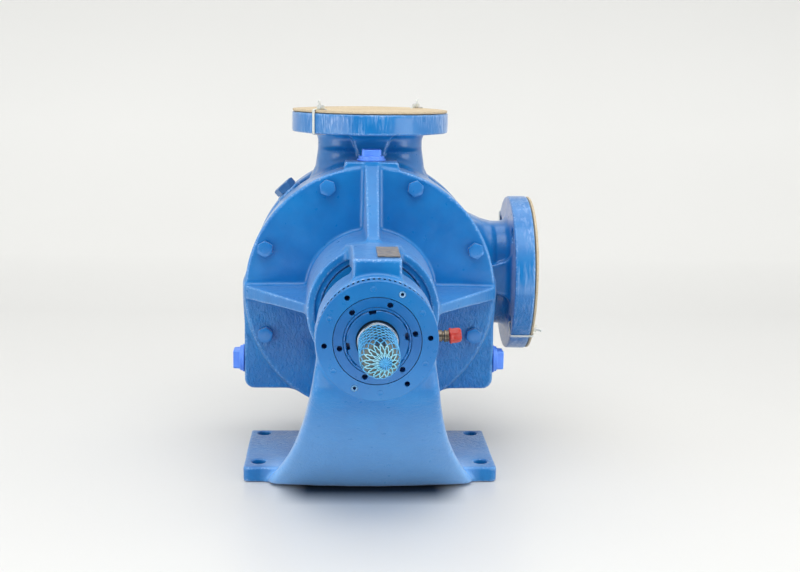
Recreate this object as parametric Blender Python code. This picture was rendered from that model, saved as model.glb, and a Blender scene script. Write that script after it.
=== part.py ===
"""Internal-gear pump: flanged casing, foot bracket and adjustable thrust-bearing housing.

Lengths are written in millimetres and turned into metres by MM. Every piece is drawn in the
pump frame: X right, Y from the shaft's free end towards the cover, Z up, with the origin where
the shaft's axis meets the front face of the bracket's disc. The empty "pump" carries that frame
into the part's own frame, whose origin is the centre of the foot plate's underside.
"""

import math

import bmesh
import bpy
import numpy as np
from mathutils import Matrix, Vector

MM = 0.001
GAP = 0.3  # between pieces that touch on the real pump

# Driving dimensions, in millimetres
SHAFT_HEIGHT = 200.2  # shaft axis above the foot's underside
FOOT_FRONT, FOOT_REAR, FOOT_HALF, FOOT_THICK = -93.8, 57.5, 142.8, 17.2
FOOT_HOLE_X, FOOT_HOLE_Y, FOOT_HOLE_R = 126.4, (-71.2, 39.6), 8.0

DISC_R, DISC_THICK, BRACKET_REAR = 146.7, 10.0, 46.0
JACKET_HALF, JACKET_BOTTOM, JACKET_CORNER = 148.0, -118.5, 12.0
BOLT_CIRCLE_R, BOLT_COUNT, BOLT_START_DEG = 132.8, 8, 22.5
BOLT_R, THREAD_R, BOLT_AF, BOLT_HEAD = 5.5, 6.0, 16.7, 7.0

HUB_R, HUB_ROOT_R, HUB_FRONT = 72.0, 75.5, -118.0
RECESS_R, GLAND_BORE_R, GLAND_SEAT, SEAL_CHAMBER_R, BUSHING_R = 63.2, 56.8, -104.0, 34.0, 25.0
BOSS_R, BOSS_FRONT, BOSS_REAR = 60.2, -246.0, -187.0
ARM_HALF, ARM_TOP, ARM_BOTTOM, ARM_FRONT, ARM_REAR = 24.2, 76.5, 52.0, -238.0, -96.0
PAD_HALF, PAD_TOP, PAD_FRONT, PAD_REAR = 31.0, 152.0, 3.0, 44.6
PLUG_Y, PLUG_Z, PLUG_HOLE_R = 25.0, -85.0, 12.6
# Each rib: outer radius, front radius, front y, half thickness at its root and at its front edge
TOP_RIB = (149.5, 74.5, -92.0, 9.2, 6.6)
SIDE_RIB = (145.5, 73.0, -103.0, 8.6, 5.2)
LEG_TOP, LEG_TOP_HALF, LEG_TOP_THICK, LEG_TOE_THICK, LEG_SWEEP = -23.7, 59.0, 54.0, 22.0, 129.0

CASING_FRONT, CASING_REAR, CASING_WAIST_R = 47.4, 152.0, 127.0
CASING_FLANGE = 20.0
CHAMBER_R = 100.0
PORT_Y, PORT_BORE_R = 102.0, 38.1  # 3 inch ports
FLANGE_R, FLANGE_THICK, FLANGE_BOLT_R, FLANGE_HOLE_R = 95.25, 24.0, 76.2, 9.5
TOP_PORT_FACE, SIDE_PORT_FACE, SIDE_PORT_Z = 206.25, 196.15, 9.1
NECK_HALF_X, NECK_HALF_Y = 63.5, 47.0
HEAD_FRONT, HEAD_PLATE, HEAD_BOSS_REAR = 153.4, 20.0, 192.0
HEX_PLUG_ANGLE, HEX_PLUG_Y, HEX_PLUG_SEAT = math.radians(132.5), 96.0, 149.0
HEX_PLUG_AF, HEX_PLUG_HEAD, HEX_PLUG_HOLE_R, HEX_PLUG_BOSS_R = 24.5, 9.5, 9.5, 17.0

SHAFT_R, SHAFT_END = 18.25, -342.6  # 1 7/16 inch coupling end
SEAT_R, COLLAR_R, BODY_R = 20.0, 24.5, 19.0
KEYWAY_WIDTH, KEYWAY_DEPTH, KEYWAY_LENGTH = 9.5, 4.8, 62.0

GLAND_FRONT, GLAND_BACK, GLAND_R, GLAND_SCREW_CIRCLE, GLAND_SCREW_R = -120.5, -104.4, 56.3, 46.0, 3.0
GLAND_SCREW_ANGLES = [math.radians(45 + 90 * k) for k in range(4)]

HOUSING_R, HOUSING_FRONT, HOUSING_BACK, SPIGOT_R, SPIGOT_END = 59.6, -261.8, -246.3, 45.0, -189.0
HOUSING_NOTCHES, NOTCH_DEPTH, NOTCH_LENGTH = 72, 3.0, 6.5
HOUSING_HOLE_CIRCLE, HOUSING_HOLE_R, SET_SCREW_R = 51.6, 2.75, 3.1
HOUSING_HOLES = [math.radians(degrees) for degrees in (3.7, 125, 185.6, 305)]
SET_SCREWS = [math.radians(degrees) for degrees in (63, 245)]
CAP_R, CAP_BORE_R, CAP_PIN_R, CAP_PIN_CIRCLE, CAP_BACK = 42.9, 33.6, 2.75, 37.3, -249.0
BEARING_FRONT, BEARING_REAR, BEARING_OUTER_R, BALL_R, BALL_CIRCLE = -230.5, -200.3, 40.0, 5.4, 30.5
BALL_ROWS, BALLS_IN_ROW = (BEARING_FRONT + 8.2, BEARING_REAR - 8.2), 6
NUT_R, NUT_FRONT, NUT_BACK, NUT_SLOT_HALF, NUT_SLOT_DEPTH = 30.2, -263.0, -254.5, 3.4, 3.2
WASHER_THICK, WASHER_R, WASHER_TAB_R = 1.2, 29.6, 32.6
GREASE_Y, GREASE_Z, GREASE_R = -224.0, -2.5, 4.0

ROTOR_TEETH, IDLER_TEETH = 11, 8
ROTOR_R, FINGER_INNER_R, WEB_FRONT, WEB_REAR, FINGER_REAR = 99.4, 76.0, 46.6, 58.6, 150.8
ECCENTRICITY, IDLER_TIP_R, IDLER_BORE_R, IDLER_FRONT = 24.0, 72.5, 20.3, 59.3
IDLER_DIRECTION = math.radians(45)  # the mesh lies midway between the two ports
TOOTH_CLEARANCE = 0.6
PIN_R = 14.0

COVER_R, COVER_THICK = 94.3, 3.0  # boards over the ports for shipping
TIE_WIDTH, TIE_THICK = 4.8, 1.3
NET_THICK = 1.6

TOP, RIGHT = math.radians(90), 0.0

# Sides of the round shapes
BIG_STEPS, MIDDLE_STEPS, SMALL_STEPS, SHANK_STEPS = 48, 32, 16, 6


# ---------------------------------------------------------------- meshes


def ring_points(radius, steps, start=0.0):
    """Points of a circle as (a, b) pairs."""
    angles = [start + 2 * math.pi * k / steps for k in range(steps)]
    return [(radius * math.cos(angle), radius * math.sin(angle)) for angle in angles]


def turned(bm, outline, steps, centre=(0.0, 0.0)):
    """Turns a closed outline of (y, radius) points about a line parallel to Y."""
    rings = []
    for y, radius in outline:
        if radius < 1e-6:
            points = [(0.0, 0.0)]
        else:
            points = ring_points(radius, steps)
        ring = [bm.verts.new(Vector((centre[0] + a, y, centre[1] + b)) * MM) for a, b in points]
        rings.append(ring)
    for low, high in zip(rings, rings[1:] + rings[:1]):
        if len(low) == 1 and len(high) == 1:
            continue
        for k in range(steps):
            following = (k + 1) % steps
            corners = [
                low[k % len(low)],
                low[following % len(low)],
                high[following % len(high)],
                high[k % len(high)],
            ]
            bm.faces.new(list(dict.fromkeys(corners)))


def prism(bm, outline, low, high, axis="Y"):
    """Extrudes a closed outline along an axis. Its points are the other two axes, in X, Y, Z order."""
    place = {
        "X": lambda a, b, t: (t, a, b),
        "Y": lambda a, b, t: (a, t, b),
        "Z": lambda a, b, t: (a, b, t),
    }[axis]
    ends = [[bm.verts.new(Vector(place(a, b, t)) * MM) for a, b in outline] for t in (low, high)]
    bm.faces.new(ends[0])
    bm.faces.new(ends[1])
    for k in range(len(outline)):
        following = (k + 1) % len(outline)
        bm.faces.new([ends[0][k], ends[0][following], ends[1][following], ends[1][k]])


def loft(bm, sections):
    """Skins rings of equally many points, given in millimetres, and caps both ends."""
    rings = [[bm.verts.new(Vector(point) * MM) for point in section] for section in sections]
    for low, high in zip(rings, rings[1:]):
        for k in range(len(low)):
            following = (k + 1) % len(low)
            bm.faces.new([low[k], low[following], high[following], high[k]])
    bm.faces.new(rings[0])
    bm.faces.new(rings[-1])


def block(bm, x, y, z):
    """A box between the two limits given for each axis."""
    prism(bm, [(x[0], y[0]), (x[1], y[0]), (x[1], y[1]), (x[0], y[1])], z[0], z[1], "Z")


def rounded(half_a, half_b, corner, steps=4, centre=(0.0, 0.0)):
    """Outline of a rectangle with round corners."""
    points = []
    for sign_a, sign_b, first in ((1, 1, 0), (-1, 1, 90), (-1, -1, 180), (1, -1, 270)):
        for k in range(steps + 1):
            angle = math.radians(first + 90 * k / steps)
            a = sign_a * (half_a - corner) + corner * math.cos(angle)
            b = sign_b * (half_b - corner) + corner * math.sin(angle)
            points.append((centre[0] + a, centre[1] + b))
    return points


def mesh_from(name, draw, *arguments):
    """Runs one of the drawing functions into a new mesh, facing out and shaded by its sharp edges."""
    bm = bmesh.new()
    draw(bm, *arguments)
    bmesh.ops.remove_doubles(bm, verts=bm.verts, dist=1e-7)
    bmesh.ops.recalc_face_normals(bm, faces=bm.faces)
    mesh = bpy.data.meshes.new(name)
    bm.to_mesh(mesh)
    bm.free()
    mesh.shade_smooth()
    mesh.set_sharp_from_angle(angle=math.radians(32))
    return mesh


# ---------------------------------------------------------------- objects


def clear_scene():
    for obj in list(bpy.data.objects):
        bpy.data.objects.remove(obj, do_unlink=True)


def make_material(name, colour, metallic, roughness):
    material = bpy.data.materials.new(name)
    material.use_nodes = True
    shader = material.node_tree.nodes["Principled BSDF"]
    shader.inputs["Base Color"].default_value = (*colour, 1.0)
    shader.inputs["Metallic"].default_value = metallic
    shader.inputs["Roughness"].default_value = roughness
    return material


def make_empty(name, location, parent=None):
    empty = bpy.data.objects.new(name, None)
    empty.location = Vector(location) * MM
    empty.empty_display_size = 0.05
    empty.parent = parent
    bpy.context.collection.objects.link(empty)
    return empty


def add(name, mesh, material, parent, location=(0, 0, 0), rotation=None):
    """A named piece of the pump."""
    obj = bpy.data.objects.new(name, mesh)
    obj.parent = parent
    obj.location = Vector(location) * MM
    if rotation:
        obj.rotation_euler = rotation
    if not mesh.materials:
        mesh.materials.append(material)
    bpy.context.collection.objects.link(obj)
    return obj


def helper(name, mesh, parent):
    """A shape that only cuts, or is joined to, another one."""
    obj = bpy.data.objects.new(name, mesh)
    obj.parent = parent
    obj.hide_render = True
    obj.display_type = "WIRE"
    bpy.context.collection.objects.link(obj)
    return obj


def combine(obj, operation, shapes):
    """Adds a Boolean for each (name, drawing function, arguments) in shapes."""
    for name, draw, *arguments in shapes:
        other = helper(name, mesh_from(name, draw, *arguments), obj.parent)
        modifier = obj.modifiers.new(name, "BOOLEAN")
        modifier.operation = operation
        modifier.solver = "EXACT"
        modifier.object = other


def combine_here(obj, operation, mesh):
    """Adds a Boolean with a mesh drawn in the object's own axes."""
    other = helper(mesh.name, mesh, obj.parent)
    other.location = obj.location
    other.rotation_euler = obj.rotation_euler
    modifier = obj.modifiers.new(mesh.name, "BOOLEAN")
    modifier.operation = operation
    modifier.solver = "EXACT"
    modifier.object = other


def on_circle(radius, angle):
    return radius * math.cos(angle), radius * math.sin(angle)


def bolt_angles():
    return [math.radians(BOLT_START_DEG + 360 / BOLT_COUNT * k) for k in range(BOLT_COUNT)]


# ---------------------------------------------------------------- shared drawing functions


def draw_cylinders(bm, centres, radius, low, high, steps, axis="Y"):
    for a, b in centres:
        points = [(a + c, b + d) for c, d in ring_points(radius, steps)]
        prism(bm, points, low, high, axis)


def draw_round(bm, radius, low, high, steps, centre=(0.0, 0.0)):
    """Solid cylinder about a line parallel to Y."""
    turned(bm, [(low, 0), (low, radius), (high, radius), (high, 0)], steps, centre)


def draw_rib(bm, angle, outer_r, hub_r, reach, root_half, edge_half):
    """A web from the disc's edge down to the hub, thinner along its sloping front edge."""
    inner_r = HUB_R - 6
    path = [
        (6.0, inner_r, root_half),
        (6.0, outer_r, root_half),
        (-3.0, outer_r, edge_half),
        (reach, hub_r, edge_half),
        (reach, inner_r, root_half),
    ]
    turn = Matrix.Rotation(-angle, 4, "Y")
    sides = []
    for sign in (-1, 1):
        sides.append([bm.verts.new(turn @ Vector((r, y, sign * half)) * MM) for y, r, half in path])
    for side in sides:
        bm.faces.new(side)
    for k in range(len(path)):
        following = (k + 1) % len(path)
        bm.faces.new([sides[0][k], sides[0][following], sides[1][following], sides[1][k]])
    bmesh.ops.triangulate(bm, faces=bm.faces)


# ---------------------------------------------------------------- bracket


def draw_bracket_core(bm):
    """Hub, disc and the cylinder behind it, turned in one."""
    outline = [
        (HUB_FRONT, 0),
        (HUB_FRONT, HUB_R),
        (-13, HUB_ROOT_R - 1.5),
        (0, HUB_ROOT_R + 5),
        (0, DISC_R),
        (BRACKET_REAR, DISC_R),
        (BRACKET_REAR, 0),
    ]
    turned(bm, outline, BIG_STEPS)


def draw_jacket(bm):
    """Squared lower body behind the disc."""
    middle = (JACKET_BOTTOM + 20) / 2
    outline = rounded(JACKET_HALF, middle - JACKET_BOTTOM, JACKET_CORNER, 3, (0, middle))
    prism(bm, outline, DISC_THICK - 1.6, BRACKET_REAR - 0.5)


def draw_pad(bm):
    """Plug boss on the disc's top, wider at its root."""
    outline = [(-PAD_HALF - 2, 130), (PAD_HALF + 2, 130), (PAD_HALF, PAD_TOP), (-PAD_HALF, PAD_TOP)]
    prism(bm, outline, PAD_FRONT, PAD_REAR)


def draw_boss(bm):
    draw_round(bm, BOSS_R, BOSS_FRONT, BOSS_REAR, BIG_STEPS)


def draw_arm(bm):
    """Bridge from the hub's top to the boss, over the side windows."""
    outline = [
        (ARM_REAR, ARM_BOTTOM),
        (ARM_REAR, ARM_TOP),
        (ARM_FRONT, ARM_TOP),
        (ARM_FRONT, ARM_TOP - 9.5),
        (BOSS_FRONT + 0.6, BOSS_R - 1),
        (BOSS_FRONT + 0.6, ARM_BOTTOM),
    ]
    prism(bm, outline, -ARM_HALF, ARM_HALF, "X")


def leg_section(depth, steps=6):
    """Outline of the flared leg at a height, depth being 0 at the boss and 1 on the floor."""
    z = LEG_TOP - (SHAFT_HEIGHT + LEG_TOP) * depth
    half = LEG_TOP_HALF + 20 * depth + 36 * depth**3.2
    front = BOSS_FRONT + 2 + LEG_SWEEP * max(0.0, (depth - 0.2) / 0.8) ** 0.93
    thick = LEG_TOP_THICK + (LEG_TOE_THICK - LEG_TOP_THICK) * min(1.0, depth / 0.7)
    lag = 11 * depth**3
    points = []
    for side in (1, -1):
        for k in range(steps + 1):
            across = (1 - 2 * k / steps) * side
            round_off = 9.0 * abs(across) ** 8
            face = front + round_off if side == 1 else front + thick - round_off
            points.append((half * across, face + lag * across**2, z))
    return points


def draw_leg(bm):
    loft(bm, [leg_section(depth) for depth in (0, 0.2, 0.35, 0.5, 0.64, 0.76, 0.86, 0.94, 1)])
    bmesh.ops.triangulate(bm, faces=bm.faces)


def draw_foot(bm):
    middle = (FOOT_FRONT + FOOT_REAR) / 2
    outline = rounded(FOOT_HALF, (FOOT_REAR - FOOT_FRONT) / 2, 7, 3, (0, middle))
    prism(bm, outline, -SHAFT_HEIGHT, -SHAFT_HEIGHT + FOOT_THICK, "Z")


def draw_rear_web(bm):
    """Upright wall from the disc down to the foot, wider at its base."""
    base = -SHAFT_HEIGHT + FOOT_THICK
    outline = [(-60, -108), (-66, -150), (-80, base + 9), (-90, base - 3)]
    outline += [(-x, z) for x, z in reversed(outline)]
    prism(bm, outline, 2.0, 22.0)


def draw_bracket_bore(bm):
    """Recess for the gland, seal chamber and bushing bore."""
    outline = [
        (HUB_FRONT - 5, 0),
        (HUB_FRONT - 5, RECESS_R),
        (HUB_FRONT + 3, RECESS_R),
        (HUB_FRONT + 3, GLAND_BORE_R),
        (GLAND_SEAT, GLAND_BORE_R),
        (GLAND_SEAT, SEAL_CHAMBER_R),
        (-12, SEAL_CHAMBER_R),
        (-12, BUSHING_R + GAP),
        (BRACKET_REAR + 1, BUSHING_R + GAP),
        (BRACKET_REAR + 1, 0),
    ]
    turned(bm, outline, MIDDLE_STEPS)


def draw_boss_bore(bm):
    draw_round(bm, SPIGOT_R + GAP, BOSS_FRONT - 1.3, BOSS_REAR + 1.7, MIDDLE_STEPS)


def draw_grease_hole(bm):
    draw_cylinders(bm, [(GREASE_Y, GREASE_Z)], GREASE_R + GAP, SPIGOT_R, BOSS_R + 4, 12, "X")


def build_bracket(pump, paint):
    bracket = add("bracket", mesh_from("bracket", draw_bracket_core), paint, pump)
    combine(bracket, "UNION", [
        ("jacket_body", draw_jacket),
        ("plug_pad", draw_pad),
        ("bearing_boss", draw_boss),
        ("bridge_arm", draw_arm),
        ("top_rib", draw_rib, TOP, *TOP_RIB),
        ("right_rib", draw_rib, RIGHT, *SIDE_RIB),
        ("left_rib", draw_rib, RIGHT + math.pi, *SIDE_RIB),
        ("rear_web", draw_rear_web),
        ("leg", draw_leg),
        ("foot_plate", draw_foot),
    ])
    holes = [on_circle(BOLT_CIRCLE_R, angle) for angle in bolt_angles()]
    feet = [(x, y) for x in (-FOOT_HOLE_X, FOOT_HOLE_X) for y in FOOT_HOLE_Y]
    foot_ends = (-SHAFT_HEIGHT - 2, -SHAFT_HEIGHT + FOOT_THICK + 4)
    gland_holes = [on_circle(GLAND_SCREW_CIRCLE, angle) for angle in GLAND_SCREW_ANGLES]
    top_plug, side_plug = [(0, PLUG_Y)], [(PLUG_Y, PLUG_Z)]
    top_ends = (PAD_TOP - 20, PAD_TOP + 2)
    left_ends, right_ends = (-JACKET_HALF - 2, -JACKET_HALF + 20), (JACKET_HALF - 20, JACKET_HALF + 2)
    combine(bracket, "DIFFERENCE", [
        ("bracket_bore", draw_bracket_bore),
        ("boss_bore", draw_boss_bore),
        ("disc_bolt_holes", draw_cylinders, holes, BOLT_R + 0.5, -2, BRACKET_REAR + 2, SHANK_STEPS),
        ("foot_holes", draw_cylinders, feet, FOOT_HOLE_R, *foot_ends, SMALL_STEPS, "Z"),
        ("top_plug_hole", draw_cylinders, top_plug, PLUG_HOLE_R, *top_ends, SMALL_STEPS, "Z"),
        ("left_plug_hole", draw_cylinders, side_plug, PLUG_HOLE_R, *left_ends, SMALL_STEPS, "X"),
        ("right_plug_hole", draw_cylinders, side_plug, PLUG_HOLE_R, *right_ends, SMALL_STEPS, "X"),
        ("gland_screw_holes", draw_cylinders, gland_holes, GLAND_SCREW_R + 0.4, -110, -88, SHANK_STEPS),
        ("grease_hole", draw_grease_hole),
    ])


# ---------------------------------------------------------------- casing and head


def neck_section(reach, half_x, half_y, along, corner):
    """One ring of a port's neck, reach being its distance from the pump's middle."""
    points = []
    for a, b in rounded(half_x, half_y, corner, 4, (0, PORT_Y)):
        points.append((a, b, reach) if along == "Z" else (reach, b, SIDE_PORT_Z - a))
    return points


def draw_neck(bm, along, face):
    back = face - FLANGE_THICK
    sections = [
        neck_section(84, 78, NECK_HALF_Y, along, 40),
        neck_section(124, 74, NECK_HALF_Y, along, 40),
        neck_section(140, 67, NECK_HALF_Y, along, 40),
        neck_section(back - 22, NECK_HALF_X, NECK_HALF_Y, along, 42),
        neck_section(back - 9, NECK_HALF_X + 2.5, NECK_HALF_Y + 2.5, along, 44),
        neck_section(back - 3, NECK_HALF_X + 7, NECK_HALF_Y + 7, along, 50),
        neck_section(back + 2, NECK_HALF_X + 16, NECK_HALF_Y + 16, along, 60),
    ]
    loft(bm, sections)
    bmesh.ops.triangulate(bm, faces=bm.faces)


def port_centre(along):
    return (0.0, PORT_Y) if along == "Z" else (PORT_Y, SIDE_PORT_Z)


def draw_port_flange(bm, along, face):
    centre = port_centre(along)
    rim = [(centre[0] + a, centre[1] + b) for a, b in ring_points(FLANGE_R, 48)]
    prism(bm, rim, face - FLANGE_THICK, face, along)


def draw_port_cutter(bm, along, face):
    centre = port_centre(along)
    draw_cylinders(bm, [centre], PORT_BORE_R, CHAMBER_R - 30, face + 2, 32, along)
    around = [math.radians(45 + 90 * k) for k in range(4)]
    offsets = [on_circle(FLANGE_BOLT_R, angle) for angle in around]
    holes = [(centre[0] + a, centre[1] + b) for a, b in offsets]
    draw_cylinders(bm, holes, FLANGE_HOLE_R, face - FLANGE_THICK - 7, face + 2, 16, along)


def draw_gauge_boss(bm, along, face):
    """Raised block on the front of a neck, narrowing away from the flange."""
    back = face - FLANGE_THICK + 1
    outline = [(-24, back), (24, back), (15, back - 27), (-15, back - 27)]
    if along == "X":
        outline = [(z, SIDE_PORT_Z - x) for x, z in outline]
    prism(bm, outline, PORT_Y - NECK_HALF_Y - 7, PORT_Y - NECK_HALF_Y + 12)


def draw_casing_body(bm):
    """Barrel with a flange at each end."""
    ends = (CASING_FRONT, CASING_REAR)
    outline = [
        (ends[0], 0),
        (ends[0], DISC_R),
        (ends[0] + CASING_FLANGE, DISC_R),
        (ends[0] + CASING_FLANGE + 6, CASING_WAIST_R),
        (ends[1] - CASING_FLANGE - 6, CASING_WAIST_R),
        (ends[1] - CASING_FLANGE, DISC_R),
        (ends[1], DISC_R),
        (ends[1], 0),
    ]
    turned(bm, outline, BIG_STEPS)


def draw_chamber(bm):
    draw_round(bm, CHAMBER_R, CASING_FRONT - 1, CASING_REAR + 1, BIG_STEPS)


def draw_radial_cylinder(bm, angle, y, radius, low, high, steps):
    """A cylinder whose axis points away from the shaft at an angle from +X."""
    turn = Matrix.Rotation(-angle, 4, "Y")
    first = len(bm.verts)
    prism(bm, [(y + a, b) for a, b in ring_points(radius, steps)], low, high, "X")
    bm.verts.ensure_lookup_table()
    for vert in bm.verts[first:]:
        vert.co = turn @ vert.co


def build_casing(pump, paint):
    casing = add("casing", mesh_from("casing", draw_casing_body), paint, pump)
    seat = (HEX_PLUG_BOSS_R, 110, HEX_PLUG_SEAT)
    combine(casing, "UNION", [
        ("top_neck", draw_neck, "Z", TOP_PORT_FACE),
        ("side_neck", draw_neck, "X", SIDE_PORT_FACE),
        ("top_flange", draw_port_flange, "Z", TOP_PORT_FACE),
        ("side_flange", draw_port_flange, "X", SIDE_PORT_FACE),
        ("top_gauge_boss", draw_gauge_boss, "Z", TOP_PORT_FACE),
        ("side_gauge_boss", draw_gauge_boss, "X", SIDE_PORT_FACE),
        ("plug_boss", draw_radial_cylinder, HEX_PLUG_ANGLE, HEX_PLUG_Y, *seat, 20),
    ])
    holes = [on_circle(BOLT_CIRCLE_R, angle) for angle in bolt_angles()]
    front_ends = (CASING_FRONT - 2, CASING_FRONT + 18)
    rear_ends = (CASING_REAR - 18, CASING_REAR + 2)
    combine(casing, "DIFFERENCE", [
        ("chamber", draw_chamber),
        ("top_port", draw_port_cutter, "Z", TOP_PORT_FACE),
        ("side_port", draw_port_cutter, "X", SIDE_PORT_FACE),
        ("front_threads", draw_cylinders, holes, THREAD_R, *front_ends, SHANK_STEPS),
        ("rear_threads", draw_cylinders, holes, THREAD_R, *rear_ends, SHANK_STEPS),
        ("hex_plug_hole", draw_radial_cylinder, HEX_PLUG_ANGLE, HEX_PLUG_Y, HEX_PLUG_HOLE_R, 118, 160, 12),
    ])


def draw_gasket(bm, low, high):
    """Flat ring that lies inside the circle of bolts."""
    inner, outer = CHAMBER_R + 0.4, BOLT_CIRCLE_R - BOLT_R - 1
    turned(bm, [(low, inner), (high, inner), (high, outer), (low, outer)], MIDDLE_STEPS)


def draw_head_plate(bm):
    rear = HEAD_FRONT + HEAD_PLATE
    outline = [
        (HEAD_FRONT, 0),
        (HEAD_FRONT, DISC_R),
        (rear, DISC_R),
        (rear, 112),
        (rear + 7, 104),
        (rear + 7, 0),
    ]
    turned(bm, outline, BIG_STEPS)


def idler_centre():
    return on_circle(ECCENTRICITY, IDLER_DIRECTION)


def draw_pin_boss(bm):
    root = HEAD_FRONT + HEAD_PLATE - 4
    outline = [(root, 0), (root, 46), (HEAD_BOSS_REAR - 4, 38), (HEAD_BOSS_REAR, 34), (HEAD_BOSS_REAR, 0)]
    turned(bm, outline, MIDDLE_STEPS, idler_centre())


def draw_crescent(bm, steps=14):
    """The seal between rotor and idler on the side away from their mesh."""
    outer_r = FINGER_INNER_R - TOOTH_CLEARANCE
    inner_r = IDLER_TIP_R + TOOTH_CLEARANCE
    spread = math.radians(80)
    away = IDLER_DIRECTION + math.pi
    angles = [-spread + 2 * spread * k / steps for k in range(steps + 1)]
    outer = [on_circle(outer_r, away + angle) for angle in angles]
    inner = []
    for angle in reversed(angles):
        reach = math.sqrt(inner_r**2 - (ECCENTRICITY * math.sin(angle)) ** 2) - ECCENTRICITY * math.cos(angle)
        inner.append(on_circle(reach, away + angle))
    prism(bm, outer + inner, WEB_REAR + 1.2, HEAD_FRONT + 4)


def draw_pin_hole(bm):
    draw_round(bm, PIN_R + GAP, HEAD_FRONT - 5, HEAD_BOSS_REAR - 8, 24, idler_centre())


def build_head(pump, paint):
    head = add("rear_cover", mesh_from("rear_cover", draw_head_plate), paint, pump)
    combine(head, "UNION", [("pin_boss", draw_pin_boss), ("crescent", draw_crescent)])
    holes = [on_circle(BOLT_CIRCLE_R, angle) for angle in bolt_angles()]
    ends = (HEAD_FRONT - 2, HEAD_FRONT + HEAD_PLATE + 2)
    combine(head, "DIFFERENCE", [
        ("pin_hole", draw_pin_hole),
        ("cover_bolt_holes", draw_cylinders, holes, BOLT_R + 0.5, *ends, SHANK_STEPS),
    ])


def build_bolts(pump, paint):
    bracket_bolt = mesh_from("bracket_bolt", draw_bolt_solid, BRACKET_REAR + 16)
    cover_bolt = mesh_from("cover_bolt", draw_bolt_solid, HEAD_PLATE + 16)
    for number, angle in enumerate(bolt_angles(), 1):
        x, z = on_circle(BOLT_CIRCLE_R, angle)
        add(f"bracket_bolt_{number}", bracket_bolt, paint, pump, (x, 0, z))
        place = (x, HEAD_FRONT + HEAD_PLATE, z)
        add(f"cover_bolt_{number}", cover_bolt, paint, pump, place, (0, 0, math.pi))


def skin_hexagon(bm, across_flats, shank_r, head, shank_end, axis):
    """A hexagon head with its shank: head holds (position, scale) from its outer face to its seat."""
    place = (lambda a, b, t: (a, t, b)) if axis == "Y" else (lambda a, b, t: (a, b, t))
    hexagon = ring_points(across_flats / math.sqrt(3), 6)
    rims = []
    for position, scale in head:
        rims.append([bm.verts.new(Vector(place(scale * a, scale * b, position)) * MM) for a, b in hexagon])
    shank = []
    for position in (head[-1][0], shank_end):
        shank.append([bm.verts.new(Vector(place(a, b, position)) * MM) for a, b in ring_points(shank_r, 6)])
    bm.faces.new(rims[0])
    for low, high in [*zip(rims, rims[1:]), (rims[-1], shank[0]), (shank[0], shank[1])]:
        for k in range(6):
            bm.faces.new([low[k], low[(k + 1) % 6], high[(k + 1) % 6], high[k]])
    bm.faces.new(shank[1])


def draw_bolt_solid(bm, length):
    """Hexagon cap screw along Y as one skin: head in front of the origin, shank behind it."""
    skin_hexagon(bm, BOLT_AF, BOLT_R, [(-BOLT_HEAD, 0.93), (1 - BOLT_HEAD, 1), (-GAP, 1)], length, "Y")


# ---------------------------------------------------------------- pumping gears


def finger_outline(number=0, steps=3):
    """Cross-section of one rotor finger: a wedge with a round inner end."""
    half_outer, half_inner = math.radians(8.3), 9.0
    centre = 2 * math.pi * number / ROTOR_TEETH
    turns = [centre + half_outer * (2 * k / steps - 1) for k in range(steps + 1)]
    points = [on_circle(ROTOR_R - 0.3, turn) for turn in turns]
    along = Vector((math.cos(centre), math.sin(centre)))
    across = Vector((-along.y, along.x))
    for side, depth in ((1.0, 5.0), (0.72, 1.4), (0.3, 0.0), (-0.3, 0.0), (-0.72, 1.4), (-1.0, 5.0)):
        point = along * (FINGER_INNER_R + depth) + across * (half_inner * side)
        points.append((point.x, point.y))
    return points


def draw_rotor_web(bm):
    outline = [
        (WEB_FRONT, BODY_R + GAP),
        (WEB_FRONT, ROTOR_R),
        (WEB_REAR, ROTOR_R),
        (WEB_REAR, BODY_R + GAP),
    ]
    turned(bm, outline, 55)


def draw_fingers(bm):
    for number in range(ROTOR_TEETH):
        prism(bm, finger_outline(number), WEB_REAR - 3, FINGER_REAR)


def edge_samples(outline, per_edge):
    """Points spread along a closed outline."""
    corners = np.array(outline)
    following = np.roll(corners, -1, axis=0)
    steps = np.linspace(0, 1, per_edge, endpoint=False)[:, None, None]
    return (corners + (following - corners) * steps).reshape(-1, 2)


def idler_outline(per_tooth=20):
    """The idler's tooth form: what the rotor's fingers leave of a disc as both gears turn together."""
    pitch = 2 * math.pi / IDLER_TEETH
    fingers = np.concatenate([edge_samples(finger_outline(number), 12) for number in range(ROTOR_TEETH)])
    centre = np.array(idler_centre())
    bins = per_tooth * 6
    reach = np.full(bins, IDLER_TIP_R + TOOTH_CLEARANCE)
    for step in range(720):
        rotor_turn = step / 720 * 2 * math.pi / ROTOR_TEETH
        idler_turn = rotor_turn * ROTOR_TEETH / IDLER_TEETH
        spun = rotate(fingers, rotor_turn) - centre
        seen = rotate(spun, -idler_turn)
        radius = np.hypot(seen[:, 0], seen[:, 1])
        turn = np.mod(np.arctan2(seen[:, 1], seen[:, 0]), pitch)
        index = np.floor(turn / pitch * bins).astype(int) % bins
        near = radius < IDLER_TIP_R + TOOTH_CLEARANCE
        np.minimum.at(reach, index[near], radius[near])
    width = 4
    grown = np.min([np.roll(reach, shift) for shift in range(-width, width + 1)], axis=0)
    grown = grown - TOOTH_CLEARANCE
    points = []
    for tooth in range(IDLER_TEETH):
        for k in range(per_tooth):
            angle = pitch * (tooth + (k + 0.5) / per_tooth)
            start = k * 6
            points.append(on_circle(float(grown[start : start + 6].min()), angle))
    return points


def rotate(points, angle):
    cosine, sine = math.cos(angle), math.sin(angle)
    return points @ np.array([[cosine, sine], [-sine, cosine]])


def draw_idler(bm):
    prism(bm, idler_outline(), IDLER_FRONT, FINGER_REAR)


def draw_idler_bore(bm):
    draw_round(bm, IDLER_BORE_R, IDLER_FRONT - 2, FINGER_REAR + 2, 24)


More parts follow.
